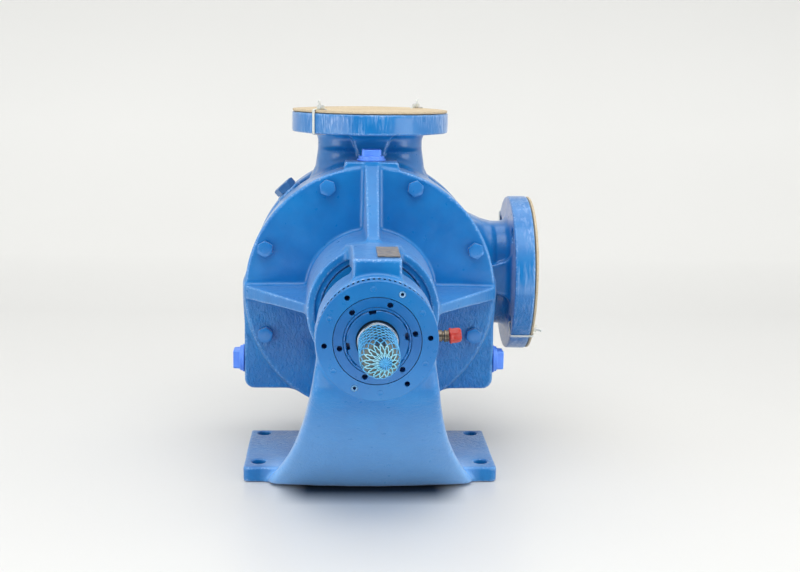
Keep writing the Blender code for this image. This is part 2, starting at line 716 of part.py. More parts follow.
def build_gears(pump, idler_axis, iron, steel, carbon):
    rotor = add("rotor", mesh_from("rotor", draw_rotor_web), iron, pump)
    combine(rotor, "UNION", [("rotor_fingers", draw_fingers)])
    idler = add("idler_gear", mesh_from("idler_gear", draw_idler), iron, idler_axis)
    combine(idler, "DIFFERENCE", [("idler_bore", draw_idler_bore)])
    bushing = [(IDLER_FRONT + 0.5, PIN_R + GAP), (IDLER_FRONT + 0.5, IDLER_BORE_R - GAP),
               (FINGER_REAR - 0.5, IDLER_BORE_R - GAP), (FINGER_REAR - 0.5, PIN_R + GAP)]
    add("idler_bushing", mesh_from("idler_bushing", turned, bushing, 24), carbon, idler_axis)
    start, end = IDLER_FRONT + 1.5, HEAD_BOSS_REAR - 9
    pin = [(start, 0), (start, PIN_R - 1), (start + 1, PIN_R), (end, PIN_R), (end, 0)]
    add("idler_pin", mesh_from("idler_pin", turned, pin, 24), steel, idler_axis)


# ---------------------------------------------------------------- shaft, seal and bearings


def draw_shaft(bm):
    outline = [
        (SHAFT_END, 0),
        (SHAFT_END, SHAFT_R - 1.2),
        (SHAFT_END + 1.2, SHAFT_R),
        (-270, SHAFT_R),
        (-269, SEAT_R),
        (BEARING_REAR + GAP, SEAT_R),
        (BEARING_REAR + GAP, COLLAR_R),
        (-182, COLLAR_R),
        (-180, BODY_R),
        (WEB_REAR - 0.2, BODY_R),
        (WEB_REAR - 0.2, 0),
    ]
    turned(bm, outline, 24)


def draw_keyway(bm):
    half = KEYWAY_WIDTH / 2
    along = (SHAFT_END - 2, SHAFT_END + KEYWAY_LENGTH)
    block(bm, (-half, half), along, (SHAFT_R - KEYWAY_DEPTH, SHAFT_R + 3))


def draw_gland(bm):
    outline = [(GLAND_FRONT, 22), (GLAND_FRONT, GLAND_R), (GLAND_BACK, GLAND_R), (GLAND_BACK, 30)]
    outline += [(-110, 30), (-110, 22)]
    turned(bm, outline, MIDDLE_STEPS)


def draw_gland_screw(bm):
    """Socket cap screw along Y, seated on the gland's face."""
    outline = [(-6, 0), (-6, 4.4), (-5.4, 5), (-GAP, 5), (-GAP, GLAND_SCREW_R), (29, GLAND_SCREW_R), (29, 0)]
    turned(bm, outline, SHANK_STEPS)


def draw_socket(bm, front, depth, across):
    prism(bm, ring_points(across / math.sqrt(3), 6), front - 1, front + depth)


def build_seal(pump, paint, carbon, steel, bronze):
    gland = add("seal_gland", mesh_from("seal_gland", draw_gland), paint, pump)
    holes = [on_circle(GLAND_SCREW_CIRCLE, angle) for angle in GLAND_SCREW_ANGLES]
    hole = (GLAND_SCREW_R + 0.4, GLAND_FRONT - 4, GLAND_BACK + 4)
    combine(gland, "DIFFERENCE", [("gland_holes", draw_cylinders, holes, *hole, SHANK_STEPS)])
    screw = mesh_from("gland_screw", draw_gland_screw)
    for number, (x, z) in enumerate(holes, 1):
        add(f"gland_screw_{number}", screw, steel, pump, (x, GLAND_FRONT, z))
    seat = [(-109.7, 20.5), (-109.7, 29.7), (-101, 29.7), (-101, 24.5), (-99.5, 24.5), (-99.5, 20.5)]
    add("seal_seat", mesh_from("seal_seat", turned, seat, 24), carbon, pump)
    bore = BODY_R + GAP
    rotary = [(-99.1, bore), (-99.1, 25), (-94, 25), (-94, 29), (-70, 29), (-70, bore)]
    add("seal_rotary", mesh_from("seal_rotary", turned, rotary, 24), steel, pump)
    rear = BRACKET_REAR - 0.5
    bushing = [(-11.5, bore), (-11.5, BUSHING_R), (rear, BUSHING_R), (rear, bore)]
    add("bracket_bushing", mesh_from("bracket_bushing", turned, bushing, 24), bronze, pump)


def draw_housing(bm):
    """Flange and threaded spigot with the bearing's seat."""
    outline = [
        (HOUSING_FRONT, CAP_R + GAP),
        (HOUSING_FRONT, HOUSING_R),
        (HOUSING_BACK, HOUSING_R),
        (HOUSING_BACK, SPIGOT_R),
        (SPIGOT_END, SPIGOT_R),
        (SPIGOT_END, CAP_BORE_R),
        (BEARING_REAR + GAP, CAP_BORE_R),
        (BEARING_REAR + GAP, BEARING_OUTER_R + GAP),
        (CAP_BACK + GAP, BEARING_OUTER_R + GAP),
        (CAP_BACK + GAP, CAP_R + GAP),
    ]
    turned(bm, outline, 48)


def draw_notches(bm):
    """Spanner notches round the back edge of the flange."""
    half = math.pi * HOUSING_R / HOUSING_NOTCHES / 2
    ends = (HOUSING_BACK - NOTCH_LENGTH, HOUSING_BACK + 1)
    for k in range(HOUSING_NOTCHES):
        angle = 2 * math.pi * k / HOUSING_NOTCHES
        radial_block(bm, angle, (HOUSING_R - NOTCH_DEPTH, HOUSING_R + 2), ends, half)


def radial_block(bm, angle, reach, y, half):
    """A box between two distances from the shaft, turned to an angle from +X."""
    turn = Matrix.Rotation(-angle, 4, "Y")
    first = len(bm.verts)
    block(bm, reach, y, (-half, half))
    bm.verts.ensure_lookup_table()
    for vert in bm.verts[first:]:
        vert.co = turn @ vert.co


def draw_cap(bm):
    outline = [
        (HOUSING_FRONT, CAP_BORE_R),
        (HOUSING_FRONT, CAP_R),
        (CAP_BACK, CAP_R),
        (CAP_BACK, BEARING_OUTER_R - 0.2),
        (BEARING_FRONT - GAP, BEARING_OUTER_R - 0.2),
        (BEARING_FRONT - GAP, 35),
        (-243.4, 35),
        (-243.4, CAP_BORE_R),
    ]
    turned(bm, outline, MIDDLE_STEPS)


def draw_locknut(bm):
    turned(bm, [(NUT_FRONT, SEAT_R + GAP), (NUT_FRONT, NUT_R - 0.8), (NUT_FRONT + 0.8, NUT_R),
                (NUT_BACK, NUT_R), (NUT_BACK, SEAT_R + GAP)], 36)


def draw_nut_slots(bm):
    reach, ends = (NUT_R - NUT_SLOT_DEPTH, NUT_R + 3), (NUT_FRONT - 1, NUT_BACK + 1)
    for degrees in (10, 100, 190, 280):
        radial_block(bm, math.radians(degrees), reach, ends, NUT_SLOT_HALF)


def draw_lockwasher(bm, tabs=11):
    """Thin ring with tabs round its edge."""
    outline = []
    turn = 2 * math.pi / tabs
    for k in range(tabs):
        for step, radius in ((0.0, WASHER_R), (0.62, WASHER_R), (0.66, WASHER_TAB_R), (0.95, WASHER_TAB_R)):
            outline.append(on_circle(radius, (k + step) * turn))
    prism(bm, outline, NUT_BACK + GAP, NUT_BACK + GAP + WASHER_THICK)


def draw_washer_bore(bm):
    draw_round(bm, SEAT_R + GAP, NUT_BACK - 4, NUT_BACK + 4, 24)


def race_outline(side, edge):
    """Half section of a race: side is -1 for the inner one and 1 for the outer, edge its plain surface."""
    land = BALL_CIRCLE + side * 2.7
    points = [(BEARING_FRONT, edge), (BEARING_FRONT, land)]
    for row in BALL_ROWS:
        for offset, depth in ((-5.0, 0.3), (-2.0, 3.3), (2.0, 3.3), (5.0, 0.3)):
            points.append((row + offset, land + side * depth))
    return points + [(BEARING_REAR, land), (BEARING_REAR, edge)]


def draw_balls(bm):
    for y in BALL_ROWS:
        for k in range(BALLS_IN_ROW):
            x, z = on_circle(BALL_CIRCLE, 2 * math.pi * k / BALLS_IN_ROW)
            place = Matrix.Translation(Vector((x, y, z)) * MM)
            bmesh.ops.create_icosphere(bm, subdivisions=2, radius=BALL_R * MM, matrix=place)


def build_bearings(pump, paint, steel, bright, rubber, brass):
    shaft = add("shaft", mesh_from("shaft", draw_shaft), steel, pump)
    combine(shaft, "DIFFERENCE", [("keyway", draw_keyway)])
    housing = add("bearing_housing", mesh_from("bearing_housing", draw_housing), paint, pump)
    open_holes = [on_circle(HOUSING_HOLE_CIRCLE, angle) for angle in HOUSING_HOLES]
    screw_holes = [on_circle(HOUSING_HOLE_CIRCLE, angle) for angle in SET_SCREWS]
    ends = (HOUSING_FRONT - 2, HOUSING_BACK + 2)
    combine(housing, "DIFFERENCE", [
        ("spanner_notches", draw_notches),
        ("open_holes", draw_cylinders, open_holes, HOUSING_HOLE_R, *ends, 10),
        ("set_screw_holes", draw_cylinders, screw_holes, SET_SCREW_R + GAP, *ends, 10),
    ])
    sunk = 0.6
    screw = mesh_from("set_screw", draw_round, SET_SCREW_R, 0, HOUSING_BACK - HOUSING_FRONT - sunk, 10)
    for number, (x, z) in enumerate(screw_holes, 1):
        piece = add(f"set_screw_{number}", screw, steel, pump, (x, HOUSING_FRONT + sunk, z))
        combine_here(piece, "DIFFERENCE", mesh_from(f"set_screw_socket_{number}", draw_socket, 0, 3.5, 3.2))
    cap = add("bearing_end_cap", mesh_from("bearing_end_cap", draw_cap), paint, pump)
    pins = [on_circle(CAP_PIN_CIRCLE, math.radians(11.7 + 60 * k)) for k in range(6)]
    pin_ends = (HOUSING_FRONT - 2, HOUSING_FRONT + 8)
    combine(cap, "DIFFERENCE", [("spanner_holes", draw_cylinders, pins, CAP_PIN_R, *pin_ends, 10)])
    nut = add("locknut", mesh_from("locknut", draw_locknut), bright, pump)
    combine(nut, "DIFFERENCE", [("nut_slots", draw_nut_slots)])
    washer = add("lockwasher", mesh_from("lockwasher", draw_lockwasher), bright, pump)
    combine(washer, "DIFFERENCE", [("washer_bore", draw_washer_bore)])
    collar_front = NUT_BACK + 2 * GAP + WASHER_THICK
    collar = [(collar_front, SEAT_R + GAP), (collar_front, COLLAR_R),
              (BEARING_FRONT - GAP, COLLAR_R), (BEARING_FRONT - GAP, SEAT_R + GAP)]
    add("spacer_collar", mesh_from("spacer_collar", turned, collar, 24), bright, pump)
    for name, low, high in (("outer_lip_seal", -252.2, -243.8), ("inner_lip_seal", -198.5, -190.5)):
        lip, seat = COLLAR_R + GAP, CAP_BORE_R - GAP
        ring = [(low, lip), (low, seat), (high, seat), (high, lip)]
        add(name, mesh_from(name, turned, ring, 24), rubber, pump)
    races = (("bearing_inner_race", -1, SEAT_R + GAP), ("bearing_outer_race", 1, BEARING_OUTER_R))
    for name, side, edge in races:
        add(name, mesh_from(name, turned, race_outline(side, edge), 24), bright, pump)
    ring = [(BEARING_FRONT + 4.5, BALL_CIRCLE - 1.6), (BEARING_FRONT + 4.5, BALL_CIRCLE + 1.6),
            (BEARING_REAR - 4.5, BALL_CIRCLE + 1.6), (BEARING_REAR - 4.5, BALL_CIRCLE - 1.6)]
    cage = add("ball_cage", mesh_from("ball_cage", turned, ring, 24), brass, pump)
    combine(cage, "UNION", [("balls", draw_balls)])


# ---------------------------------------------------------------- trim


def draw_shipping_plug(bm):
    """Plastic plug along Z: spigot, two-ring flange on the origin and a square head."""
    spigot = [(-13, 0), (-13, 11.4), (GAP, 12.2)]
    rings = [(GAP, 16.7), (3.0, 16.7), (3.2, 15.6), (6.2, 15.6), (6.2, 0)]
    turned_z(bm, spigot + rings, SMALL_STEPS)


def draw_plug_head(bm):
    block(bm, (-11.3, 11.3), (-11.3, 11.3), (5.0, 13.8))


def turned_z(bm, outline, steps):
    first = len(bm.verts)
    turned(bm, outline, steps)
    bm.verts.ensure_lookup_table()
    for vert in bm.verts[first:]:
        vert.co = Vector((vert.co.x, -vert.co.z, vert.co.y))


def build_plugs(pump, plastic, dark_paint):
    places = {
        "top_shipping_plug": ((0, PLUG_Y, PAD_TOP), (0, 0, 0)),
        "left_shipping_plug": ((-JACKET_HALF, PLUG_Y, PLUG_Z), (0, -math.pi / 2, 0)),
        "right_shipping_plug": ((JACKET_HALF, PLUG_Y, PLUG_Z), (0, math.pi / 2, 0)),
    }
    for name, (location, rotation) in places.items():
        plug = add(name, mesh_from(name, draw_shipping_plug), plastic, pump, location, rotation)
        combine_here(plug, "UNION", mesh_from(f"{name}_head", draw_plug_head))
    x, z = on_circle(HEX_PLUG_SEAT, HEX_PLUG_ANGLE)
    rotation = (0, math.pi / 2 - HEX_PLUG_ANGLE, 0)
    plug = mesh_from("casing_plug", draw_hex_plug)
    add("casing_plug", plug, dark_paint, pump, (x, HEX_PLUG_Y, z), rotation)


def draw_hex_plug(bm):
    """Threaded plug along Z with a hexagon head."""
    head = [(HEX_PLUG_HEAD, 0.92), (HEX_PLUG_HEAD - 1.2, 1.0), (GAP, 1.0)]
    skin_hexagon(bm, HEX_PLUG_AF, HEX_PLUG_HOLE_R - 0.4, head, -24.0, "Z")


def draw_cover(bm):
    """Flat disc along Z on the origin."""
    prism(bm, ring_points(COVER_R, 48), GAP, GAP + COVER_THICK, "Z")


def draw_tie_loop(bm):
    """Strap round the rim of a flange, in the plane of X and Z, with its head on the cover."""
    low, high = -FLANGE_THICK - 0.5, GAP + COVER_THICK + 0.5
    inner_x, outer_x = FLANGE_BOLT_R - 2.0, FLANGE_R + 0.5
    half_x, half_z = (outer_x - inner_x) / 2, (high - low) / 2
    middle = ((outer_x + inner_x) / 2, (low + high) / 2)
    outer = rounded(half_x + TIE_THICK, half_z + TIE_THICK, 2.2, 2, middle)
    inner = rounded(half_x, half_z, 1.0, 2, middle)
    half = TIE_WIDTH / 2
    loops = []
    for outline in (outer, inner):
        loops.append([[bm.verts.new(Vector((a, y, b)) * MM) for a, b in outline] for y in (-half, half)])
    (outer_low, outer_high), (inner_low, inner_high) = loops
    count = len(outer)
    for k in range(count):
        following = (k + 1) % count
        bm.faces.new([outer_low[k], outer_low[following], outer_high[following], outer_high[k]])
        bm.faces.new([inner_low[k], inner_low[following], inner_high[following], inner_high[k]])
        bm.faces.new([outer_low[k], outer_low[following], inner_low[following], inner_low[k]])
        bm.faces.new([outer_high[k], outer_high[following], inner_high[following], inner_high[k]])


def draw_tie_head(bm):
    """Locking head and the cut tail standing up from it."""
    top = GAP + COVER_THICK + 0.5
    outline = [(81, top + 0.4), (88.5, top + 0.4), (88.5, top + 5.2), (81, top + 5.2)]
    half = TIE_WIDTH / 2 + 1.6
    prism(bm, outline, -half, half)


def build_port_trim(pump, board, nylon):
    frames = {
        "top": ((0, PORT_Y, TOP_PORT_FACE), Matrix.Identity(3)),
        "side": ((SIDE_PORT_FACE, PORT_Y, SIDE_PORT_Z), Matrix.Rotation(math.pi / 2, 3, "Y")),
    }
    tie_degrees = {"top": (225, 45), "side": (-45, 135)}
    for name, (location, turn) in frames.items():
        cover_name = f"{name}_port_cover"
        cover = add(cover_name, mesh_from(cover_name, draw_cover), board, pump, location, turn.to_euler())
        holes = [on_circle(FLANGE_BOLT_R - 1.0, math.radians(degrees)) for degrees in tie_degrees[name]]
        cutter = mesh_from(f"{name}_tie_holes", draw_cylinders, holes, 4.2, -2, 8, 10, "Z")
        combine_here(cover, "DIFFERENCE", cutter)
        for number, degrees in enumerate(tie_degrees[name], 1):
            spin = turn @ Matrix.Rotation(math.radians(degrees), 3, "Z")
            tie_name = f"{name}_cable_tie_{number}"
            tie = add(tie_name, mesh_from(tie_name, draw_tie_loop), nylon, pump, location, spin.to_euler())
            combine_here(tie, "UNION", mesh_from(f"{name}_tie_head_{number}", draw_tie_head))


def build_small_trim(pump, brass, red, net, tag):
    grease = (SPIGOT_R + 2, GREASE_Y, GREASE_Z)
    turn = (0, 0, -math.pi / 2)
    add("grease_fitting", mesh_from("grease_fitting", draw_grease_fitting), brass, pump, grease, turn)
    add("grease_cap", mesh_from("grease_cap", draw_grease_cap), red, pump, grease, turn)
    add("shaft_net_sleeve", mesh_from("shaft_net_sleeve", draw_net_sleeve), net, pump)
    add("nameplate", mesh_from("nameplate", draw_nameplate), tag, pump)


def draw_grease_fitting(bm):
    """Fitting along Y: threaded stem, two collars and the nipple that the cap hides."""
    stem = [(0, 0), (0, GREASE_R), (13.8, GREASE_R)]
    collars = [(13.8, 5.8), (19.0, 5.8), (19.0, 5.0), (20.2, 5.0), (20.2, 6.2), (25.2, 6.2)]
    turned(bm, stem + collars + [(25.2, 3.2), (31.0, 3.2), (31.0, 0)], 12)


def draw_grease_cap(bm):
    skirt = [(31.4, 0), (31.4, 3.5), (25.5, 3.5), (25.5, 6.8)]
    turned(bm, skirt + [(26.4, 7.3), (36.8, 7.0), (38.0, 6.0), (38.0, 0)], 12)


def draw_net_sleeve(bm):
    """Mesh tube over the shaft's free end, gathered to a knot in the middle."""
    inner = SHAFT_R + GAP
    outer = inner + NET_THICK
    root = -272.0
    side = [(root, inner), (root, outer), (SHAFT_END - 0.5, outer), (SHAFT_END - 2.6, inner - 2)]
    knot = [(SHAFT_END - 4.0, 7), (SHAFT_END - 7.0, 5), (SHAFT_END - 7.0, 0)]
    turned(bm, side + knot + [(SHAFT_END - GAP, 0), (SHAFT_END - GAP, inner)], 24)


def draw_nameplate(bm):
    block(bm, (0.5, 23.0), (-226.0, -160.0), (ARM_TOP + GAP, ARM_TOP + GAP + 0.9))


# ---------------------------------------------------------------- the pump


def main():
    clear_scene()
    paint = make_material("blue_enamel", (0.03, 0.18, 0.52), 0.0, 0.3)
    dark_paint = make_material("dark_blue_enamel", (0.01, 0.05, 0.20), 0.0, 0.4)
    iron = make_material("machined_iron", (0.28, 0.28, 0.29), 0.9, 0.45)
    steel = make_material("ground_steel", (0.45, 0.46, 0.48), 1.0, 0.28)
    bright = make_material("blued_steel", (0.06, 0.20, 0.45), 0.3, 0.35)
    bronze = make_material("bronze", (0.45, 0.28, 0.12), 0.9, 0.4)
    brass = make_material("brass", (0.35, 0.26, 0.12), 1.0, 0.4)
    carbon = make_material("carbon_graphite", (0.03, 0.03, 0.035), 0.0, 0.5)
    rubber = make_material("black_rubber", (0.02, 0.02, 0.02), 0.0, 0.6)
    gasket = make_material("gasket_fibre", (0.05, 0.06, 0.07), 0.0, 0.9)
    plastic = make_material("blue_polyethylene", (0.12, 0.32, 0.93), 0.0, 0.4)
    board = make_material("fibreboard", (0.62, 0.50, 0.36), 0.0, 0.85)
    nylon = make_material("natural_nylon", (0.85, 0.85, 0.80), 0.0, 0.35)
    red = make_material("red_vinyl", (0.72, 0.06, 0.04), 0.0, 0.35)
    net = make_material("pale_blue_netting", (0.15, 0.55, 0.85), 0.0, 0.4)
    tag = make_material("stamped_tag", (0.33, 0.31, 0.28), 0.9, 0.45)

    pump = make_empty("pump", (0, -(FOOT_FRONT + FOOT_REAR) / 2, SHAFT_HEIGHT))
    x, z = idler_centre()
    idler_axis = make_empty("idler_axis", (x, 0, z), pump)

    build_bracket(pump, paint)
    build_casing(pump, paint)
    build_head(pump, paint)
    for name, low in (("bracket_gasket", BRACKET_REAR + GAP), ("cover_gasket", CASING_REAR + GAP)):
        add(name, mesh_from(name, draw_gasket, low, low + 0.8), gasket, pump)
    build_bolts(pump, paint)
    build_gears(pump, idler_axis, iron, steel, carbon)
    build_seal(pump, paint, carbon, steel, bronze)
    build_bearings(pump, paint, steel, bright, rubber, brass)
    build_plugs(pump, plastic, dark_paint)
    build_port_trim(pump, board, nylon)
    build_small_trim(pump, brass, red, net, tag)


main()
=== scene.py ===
"""Looks of the internal-gear pump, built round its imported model.

Shapes are worked out in millimetres in the pump frame: X right, Y from the shaft's free end
towards the rear cover, Z up, with the origin where the shaft's axis meets the front of the
bracket's disc. Castings are distance fields that are skinned into meshes, so that their ribs,
bosses and walls run into one another with fillets, as poured iron does.
"""

import math

import bmesh
import bpy
import numpy as np
from mathutils import Matrix, Vector


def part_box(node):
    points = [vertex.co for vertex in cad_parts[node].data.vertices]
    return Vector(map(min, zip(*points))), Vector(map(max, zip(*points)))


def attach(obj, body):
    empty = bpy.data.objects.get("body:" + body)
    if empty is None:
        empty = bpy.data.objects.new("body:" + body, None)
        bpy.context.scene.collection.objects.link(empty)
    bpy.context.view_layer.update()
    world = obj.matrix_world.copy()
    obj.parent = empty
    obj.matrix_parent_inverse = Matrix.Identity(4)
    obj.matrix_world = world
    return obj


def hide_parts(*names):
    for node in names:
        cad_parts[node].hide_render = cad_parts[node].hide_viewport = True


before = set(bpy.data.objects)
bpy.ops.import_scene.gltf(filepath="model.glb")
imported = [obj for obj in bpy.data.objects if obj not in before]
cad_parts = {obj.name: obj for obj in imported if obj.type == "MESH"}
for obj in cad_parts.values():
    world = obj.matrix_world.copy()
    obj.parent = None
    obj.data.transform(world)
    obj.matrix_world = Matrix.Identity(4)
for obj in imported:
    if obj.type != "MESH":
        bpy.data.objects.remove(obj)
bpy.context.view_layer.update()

MM = 0.001
WELD = 1e-4
SHAFT_END = -342.6
shaft_low, shaft_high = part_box("shaft")
PUMP = Vector((
    (shaft_low.x + shaft_high.x) / 2,
    shaft_low.y - SHAFT_END * MM,
    (shaft_low.z + shaft_high.z) / 2,
))
SHAFT_HEIGHT = PUMP.z / MM

# Sizes shared with the solid model, in millimetres
DISC_R, BRACKET_REAR = 146.7, 46.0
BOLT_CIRCLE_R, BOLT_AF, BOLT_HEAD = 132.8, 16.7, 7.0
HUB_FRONT, BOSS_FRONT, BOSS_REAR, BOSS_R = -118.0, -246.0, -187.0, 60.2
PORT_Y, PORT_BORE_R, FLANGE_R, FLANGE_THICK = 102.0, 38.1, 95.25, 24.0
TOP_FACE, SIDE_FACE, SIDE_Z = 206.25, 196.15, 9.1
HOUSING_R, HOUSING_FRONT, HOUSING_BACK, NOTCH_FRONT = 59.6, -261.8, -246.4, -255.6
CAP_R, CAP_BORE_R = 42.9, 33.6
PIN_CIRCLE_R, CAP_PIN_CIRCLE_R, PIN_HOLE_R = 51.6, 37.3, 2.75
NOTCHES, NOTCH_DEPTH = 72, 3.0
JACKET_PORT_Y, JACKET_PORT_Z = 25.0, -85.0
NUT_R, NUT_FRONT, NUT_BACK = 30.2, -263.0, -254.5
SHAFT_R, SEAT_R = 18.25, 20.0
HEX_PLUG_ANGLE, HEX_PLUG_Y, HEX_PLUG_SEAT = math.radians(132.5), 96.0, 149.0
IDLER_X = IDLER_Z = 24.0 * math.sqrt(0.5)
NET_ROOT, NET_R, NET_RIM_R, NET_KNOT = -271.5, 18.6, 15.7, (4.6, -1.8)
NET_STRANDS, NET_BODY_CELLS, NET_END_CELLS = 16, 12.0, 2.4


# ---- distance fields


def smooth_min(a, b, k):
    """Union of two fields with a fillet that reaches k along each wall."""
    h = np.maximum(k - np.abs(a - b), 0.0) / k
    return np.minimum(a, b) - h * h * (k * 0.25)


def smooth_max(a, b, k):
    """Intersection of two fields with a rounded edge."""
    return -smooth_min(-a, -b, k)


def rect(a, b, half_a, half_b, corner):
    """Distance to a rectangle with round corners."""
    da = np.abs(a) - (half_a - corner)
    db = np.abs(b) - (half_b - corner)
    outside = np.hypot(np.maximum(da, 0.0), np.maximum(db, 0.0))
    return outside + np.minimum(np.maximum(da, db), 0.0) - corner


def slab(t, low, high):
    return np.abs(t - (low + high) / 2) - (high - low) / 2


def grid(low, high, pitch):
    """Coordinates along X, Y and Z that broadcast into a box of points."""
    axes = [np.arange(a, b + pitch, pitch, dtype=np.float32) for a, b in zip(low, high)]
    return axes[0][:, None, None], axes[1][None, :, None], axes[2][None, None, :]


def lumps(x, y, z, cell, seed):
    """Smooth random hills about cell millimetres wide, between about -1 and 1."""
    rng = np.random.default_rng(seed)
    weights, counts = [], []
    for axis in (x, y, z):
        t = (axis.ravel() - axis.min()) / cell
        base = np.floor(t).astype(int)
        f = t - base
        count = int(base.max()) + 4
        matrix = np.zeros((len(t), count), np.float32)
        parts = ((1 - f) ** 3, 3 * f**3 - 6 * f**2 + 4, -3 * f**3 + 3 * f**2 + 3 * f + 1, f**3)
        for k, part in enumerate(parts):
            matrix[np.arange(len(t)), base + k] = part / 6
        weights.append(matrix)
        counts.append(count)
    values = rng.uniform(-1.6, 1.6, counts).astype(np.float32)
    values = np.tensordot(weights[0], values, (1, 0))
    values = np.einsum("yb,xbc->xyc", weights[1], values, optimize=True)
    return np.einsum("zc,xyc->xyz", weights[2], values, optimize=True)


def skin(field, x, y, z):
    """Points and quads of the surface where the field is zero."""
    pitch = float(x.ravel()[1] - x.ravel()[0])
    inside = field < 0
    corners = [np.array((i, j, k)) for i in (0, 1) for j in (0, 1) for k in (0, 1)]
    count = np.zeros([n - 1 for n in field.shape], np.uint8)
    for corner in corners:
        count += inside[tuple(slice(low, low + n) for low, n in zip(corner, count.shape))]
    cells = np.argwhere((count > 0) & (count < 8))
    index = np.full(count.shape, -1, np.int32)
    index[tuple(cells.T)] = np.arange(len(cells))
    total = np.zeros((len(cells), 3))
    number = np.zeros(len(cells))
    value = {tuple(c): field[tuple((cells + c).T)].astype(float) for c in corners}
    for c in corners:
        for axis in range(3):
            if c[axis]:
                continue
            d = c.copy()
            d[axis] = 1
            a, b = value[tuple(c)], value[tuple(d)]
            crossed = (a < 0) != (b < 0)
            step = np.where(crossed, a / np.where(crossed, a - b, 1.0), 0.0)
            point = np.tile(c.astype(float), (len(cells), 1))
            point[:, axis] += step
            total[crossed] += point[crossed]
            number += crossed
    start = np.array([axis.ravel()[0] for axis in (x, y, z)])
    points = (cells + total / number[:, None]) * pitch + start
    quads = []
    for axis in range(3):
        near, far = [slice(1, -1)] * 3, [slice(1, -1)] * 3
        near[axis], far[axis] = slice(None, -1), slice(1, None)
        a, b = inside[tuple(near)], inside[tuple(far)]
        edges = np.argwhere(a != b)
        leaving = a[tuple(edges.T)]
        u, v = [other for other in range(3) if other != axis]
        edges[:, [u, v]] += 1
        ring = []
        for du, dv in ((1, 1), (0, 1), (0, 0), (1, 0)):
            cell = edges.copy()
            cell[:, u] -= du
            cell[:, v] -= dv
            ring.append(index[tuple(cell.T)])
        ring = np.stack(ring, 1)
        turn = leaving if axis != 1 else ~leaving
        quads.append(np.where(turn[:, None], ring, ring[:, ::-1]))
    return points, np.concatenate(quads)


# ---- objects


def place(points):
    """Pump-frame millimetres to row-frame metres."""
    return np.asarray(points, float) * MM + np.array(PUMP)


def finish_mesh(mesh, sharp_deg):
    mesh.shade_smooth()
    if sharp_deg:
        mesh.set_sharp_from_angle(angle=math.radians(sharp_deg))


def add_piece(name, mesh, material, body, nodes=()):
    obj = bpy.data.objects.new(name, mesh)
    bpy.context.scene.collection.objects.link(obj)
    mesh.materials.clear()
    mesh.materials.append(material)
    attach(obj, body)
    if nodes:
        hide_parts(*nodes)
    return obj


def mesh_of(name, points, faces, sharp_deg=None):
    mesh = bpy.data.meshes.new(name)
    mesh.from_pydata(place(points).tolist(), [], np.asarray(faces).tolist())
    mesh.update()
    finish_mesh(mesh, sharp_deg)
    return mesh


def mesh_from_bm(name, bm, sharp_deg=32):
    """A bmesh in pump-frame millimetres, welded, facing out, as a mesh in the row frame."""
    bmesh.ops.remove_doubles(bm, verts=bm.verts, dist=WELD)
    bmesh.ops.recalc_face_normals(bm, faces=bm.faces)
    for vert in bm.verts:
        vert.co = vert.co * MM + PUMP
    mesh = bpy.data.meshes.new(name)
    bm.to_mesh(mesh)
    bm.free()
    finish_mesh(mesh, sharp_deg)
    return mesh


def add_drawn(name, bm, material, node, body="pump_body", sharp_deg=32):
    """Adds a piece from a bmesh in pump-frame millimetres."""
    return add_piece(name, mesh_from_bm(name, bm, sharp_deg), material, body, [node] if node else ())


def add_turned(name, outline, steps, put, material, node, sharp_deg=32):
    """Adds a piece turned from an outline that starts and ends on its axis, then put in place."""
    bm = bmesh.new()
    lathe(bm, outline, steps, close=False)
    bmesh.ops.transform(bm, matrix=put, verts=bm.verts)
    return add_drawn(name, bm, material, node, sharp_deg=sharp_deg)


def apply_modifiers(obj):
    """Bakes the object's modifiers into its mesh."""
    bpy.context.view_layer.update()
    evaluated = obj.evaluated_get(bpy.context.evaluated_depsgraph_get())
    mesh = bpy.data.meshes.new_from_object(evaluated)
    obj.modifiers.clear()
    obj.data = mesh


def bevel(obj, width, segments=2, angle_deg=35):
    modifier = obj.modifiers.new("edges", "BEVEL")
    modifier.width = width * MM
    modifier.segments = segments
    modifier.limit_method = "ANGLE"
    modifier.angle_limit = math.radians(angle_deg)
    modifier.harden_normals = True
    modifier.use_clamp_overlap = True


def cut_with(obj, cutter_mesh):
    """Takes one mesh out of a piece for good."""
    cutter = bpy.data.objects.new("cutter", cutter_mesh)
    bpy.context.scene.collection.objects.link(cutter)
    modifier = obj.modifiers.new("cut", "BOOLEAN")
    modifier.operation = "DIFFERENCE"
    modifier.solver = "EXACT"
    modifier.object = cutter
    apply_modifiers(obj)
    bpy.data.objects.remove(cutter)
    finish_mesh(obj.data, 32)


def join_rings(bm, rings, close=False):
    """Faces from each ring of points to the next, and back to the first one when close is set."""
    for low, high in zip(rings, rings[1:] + rings[:1] if close else rings[1:]):
        for k in range(len(low)):
            n = (k + 1) % len(low)
            corners = list(dict.fromkeys([low[k], low[n], high[n], high[k]]))
            if len(corners) > 2:
                bm.faces.new(corners)


def strand(bm, rings):
    """Joins rings of points and closes both ends."""
    join_rings(bm, rings)
    bm.faces.new(rings[0])
    bm.faces.new(rings[-1])


def polar(reach, angle, y, centre=(0.0, 0.0)):
    """The point at an angle about a line parallel to Y."""
    return Vector((centre[0] + reach * math.cos(angle), y, centre[1] + reach * math.sin(angle)))


def lathe(bm, outline, steps, centre=(0.0, 0.0), close=True):
    """Turns (y, radius) points about a line parallel to Y. Both may depend on the angle."""
    rings = []
    for y, radius in outline:
        ring = []
        for k in range(steps):
            angle = 2 * math.pi * k / steps
            reach = radius(angle) if callable(radius) else radius
            deep = y(angle) if callable(y) else y
            ring.append(bm.verts.new(polar(reach, angle, deep, centre)))
            if reach == 0.0:
                ring *= steps
                break
        rings.append(ring)
    join_rings(bm, rings, close)


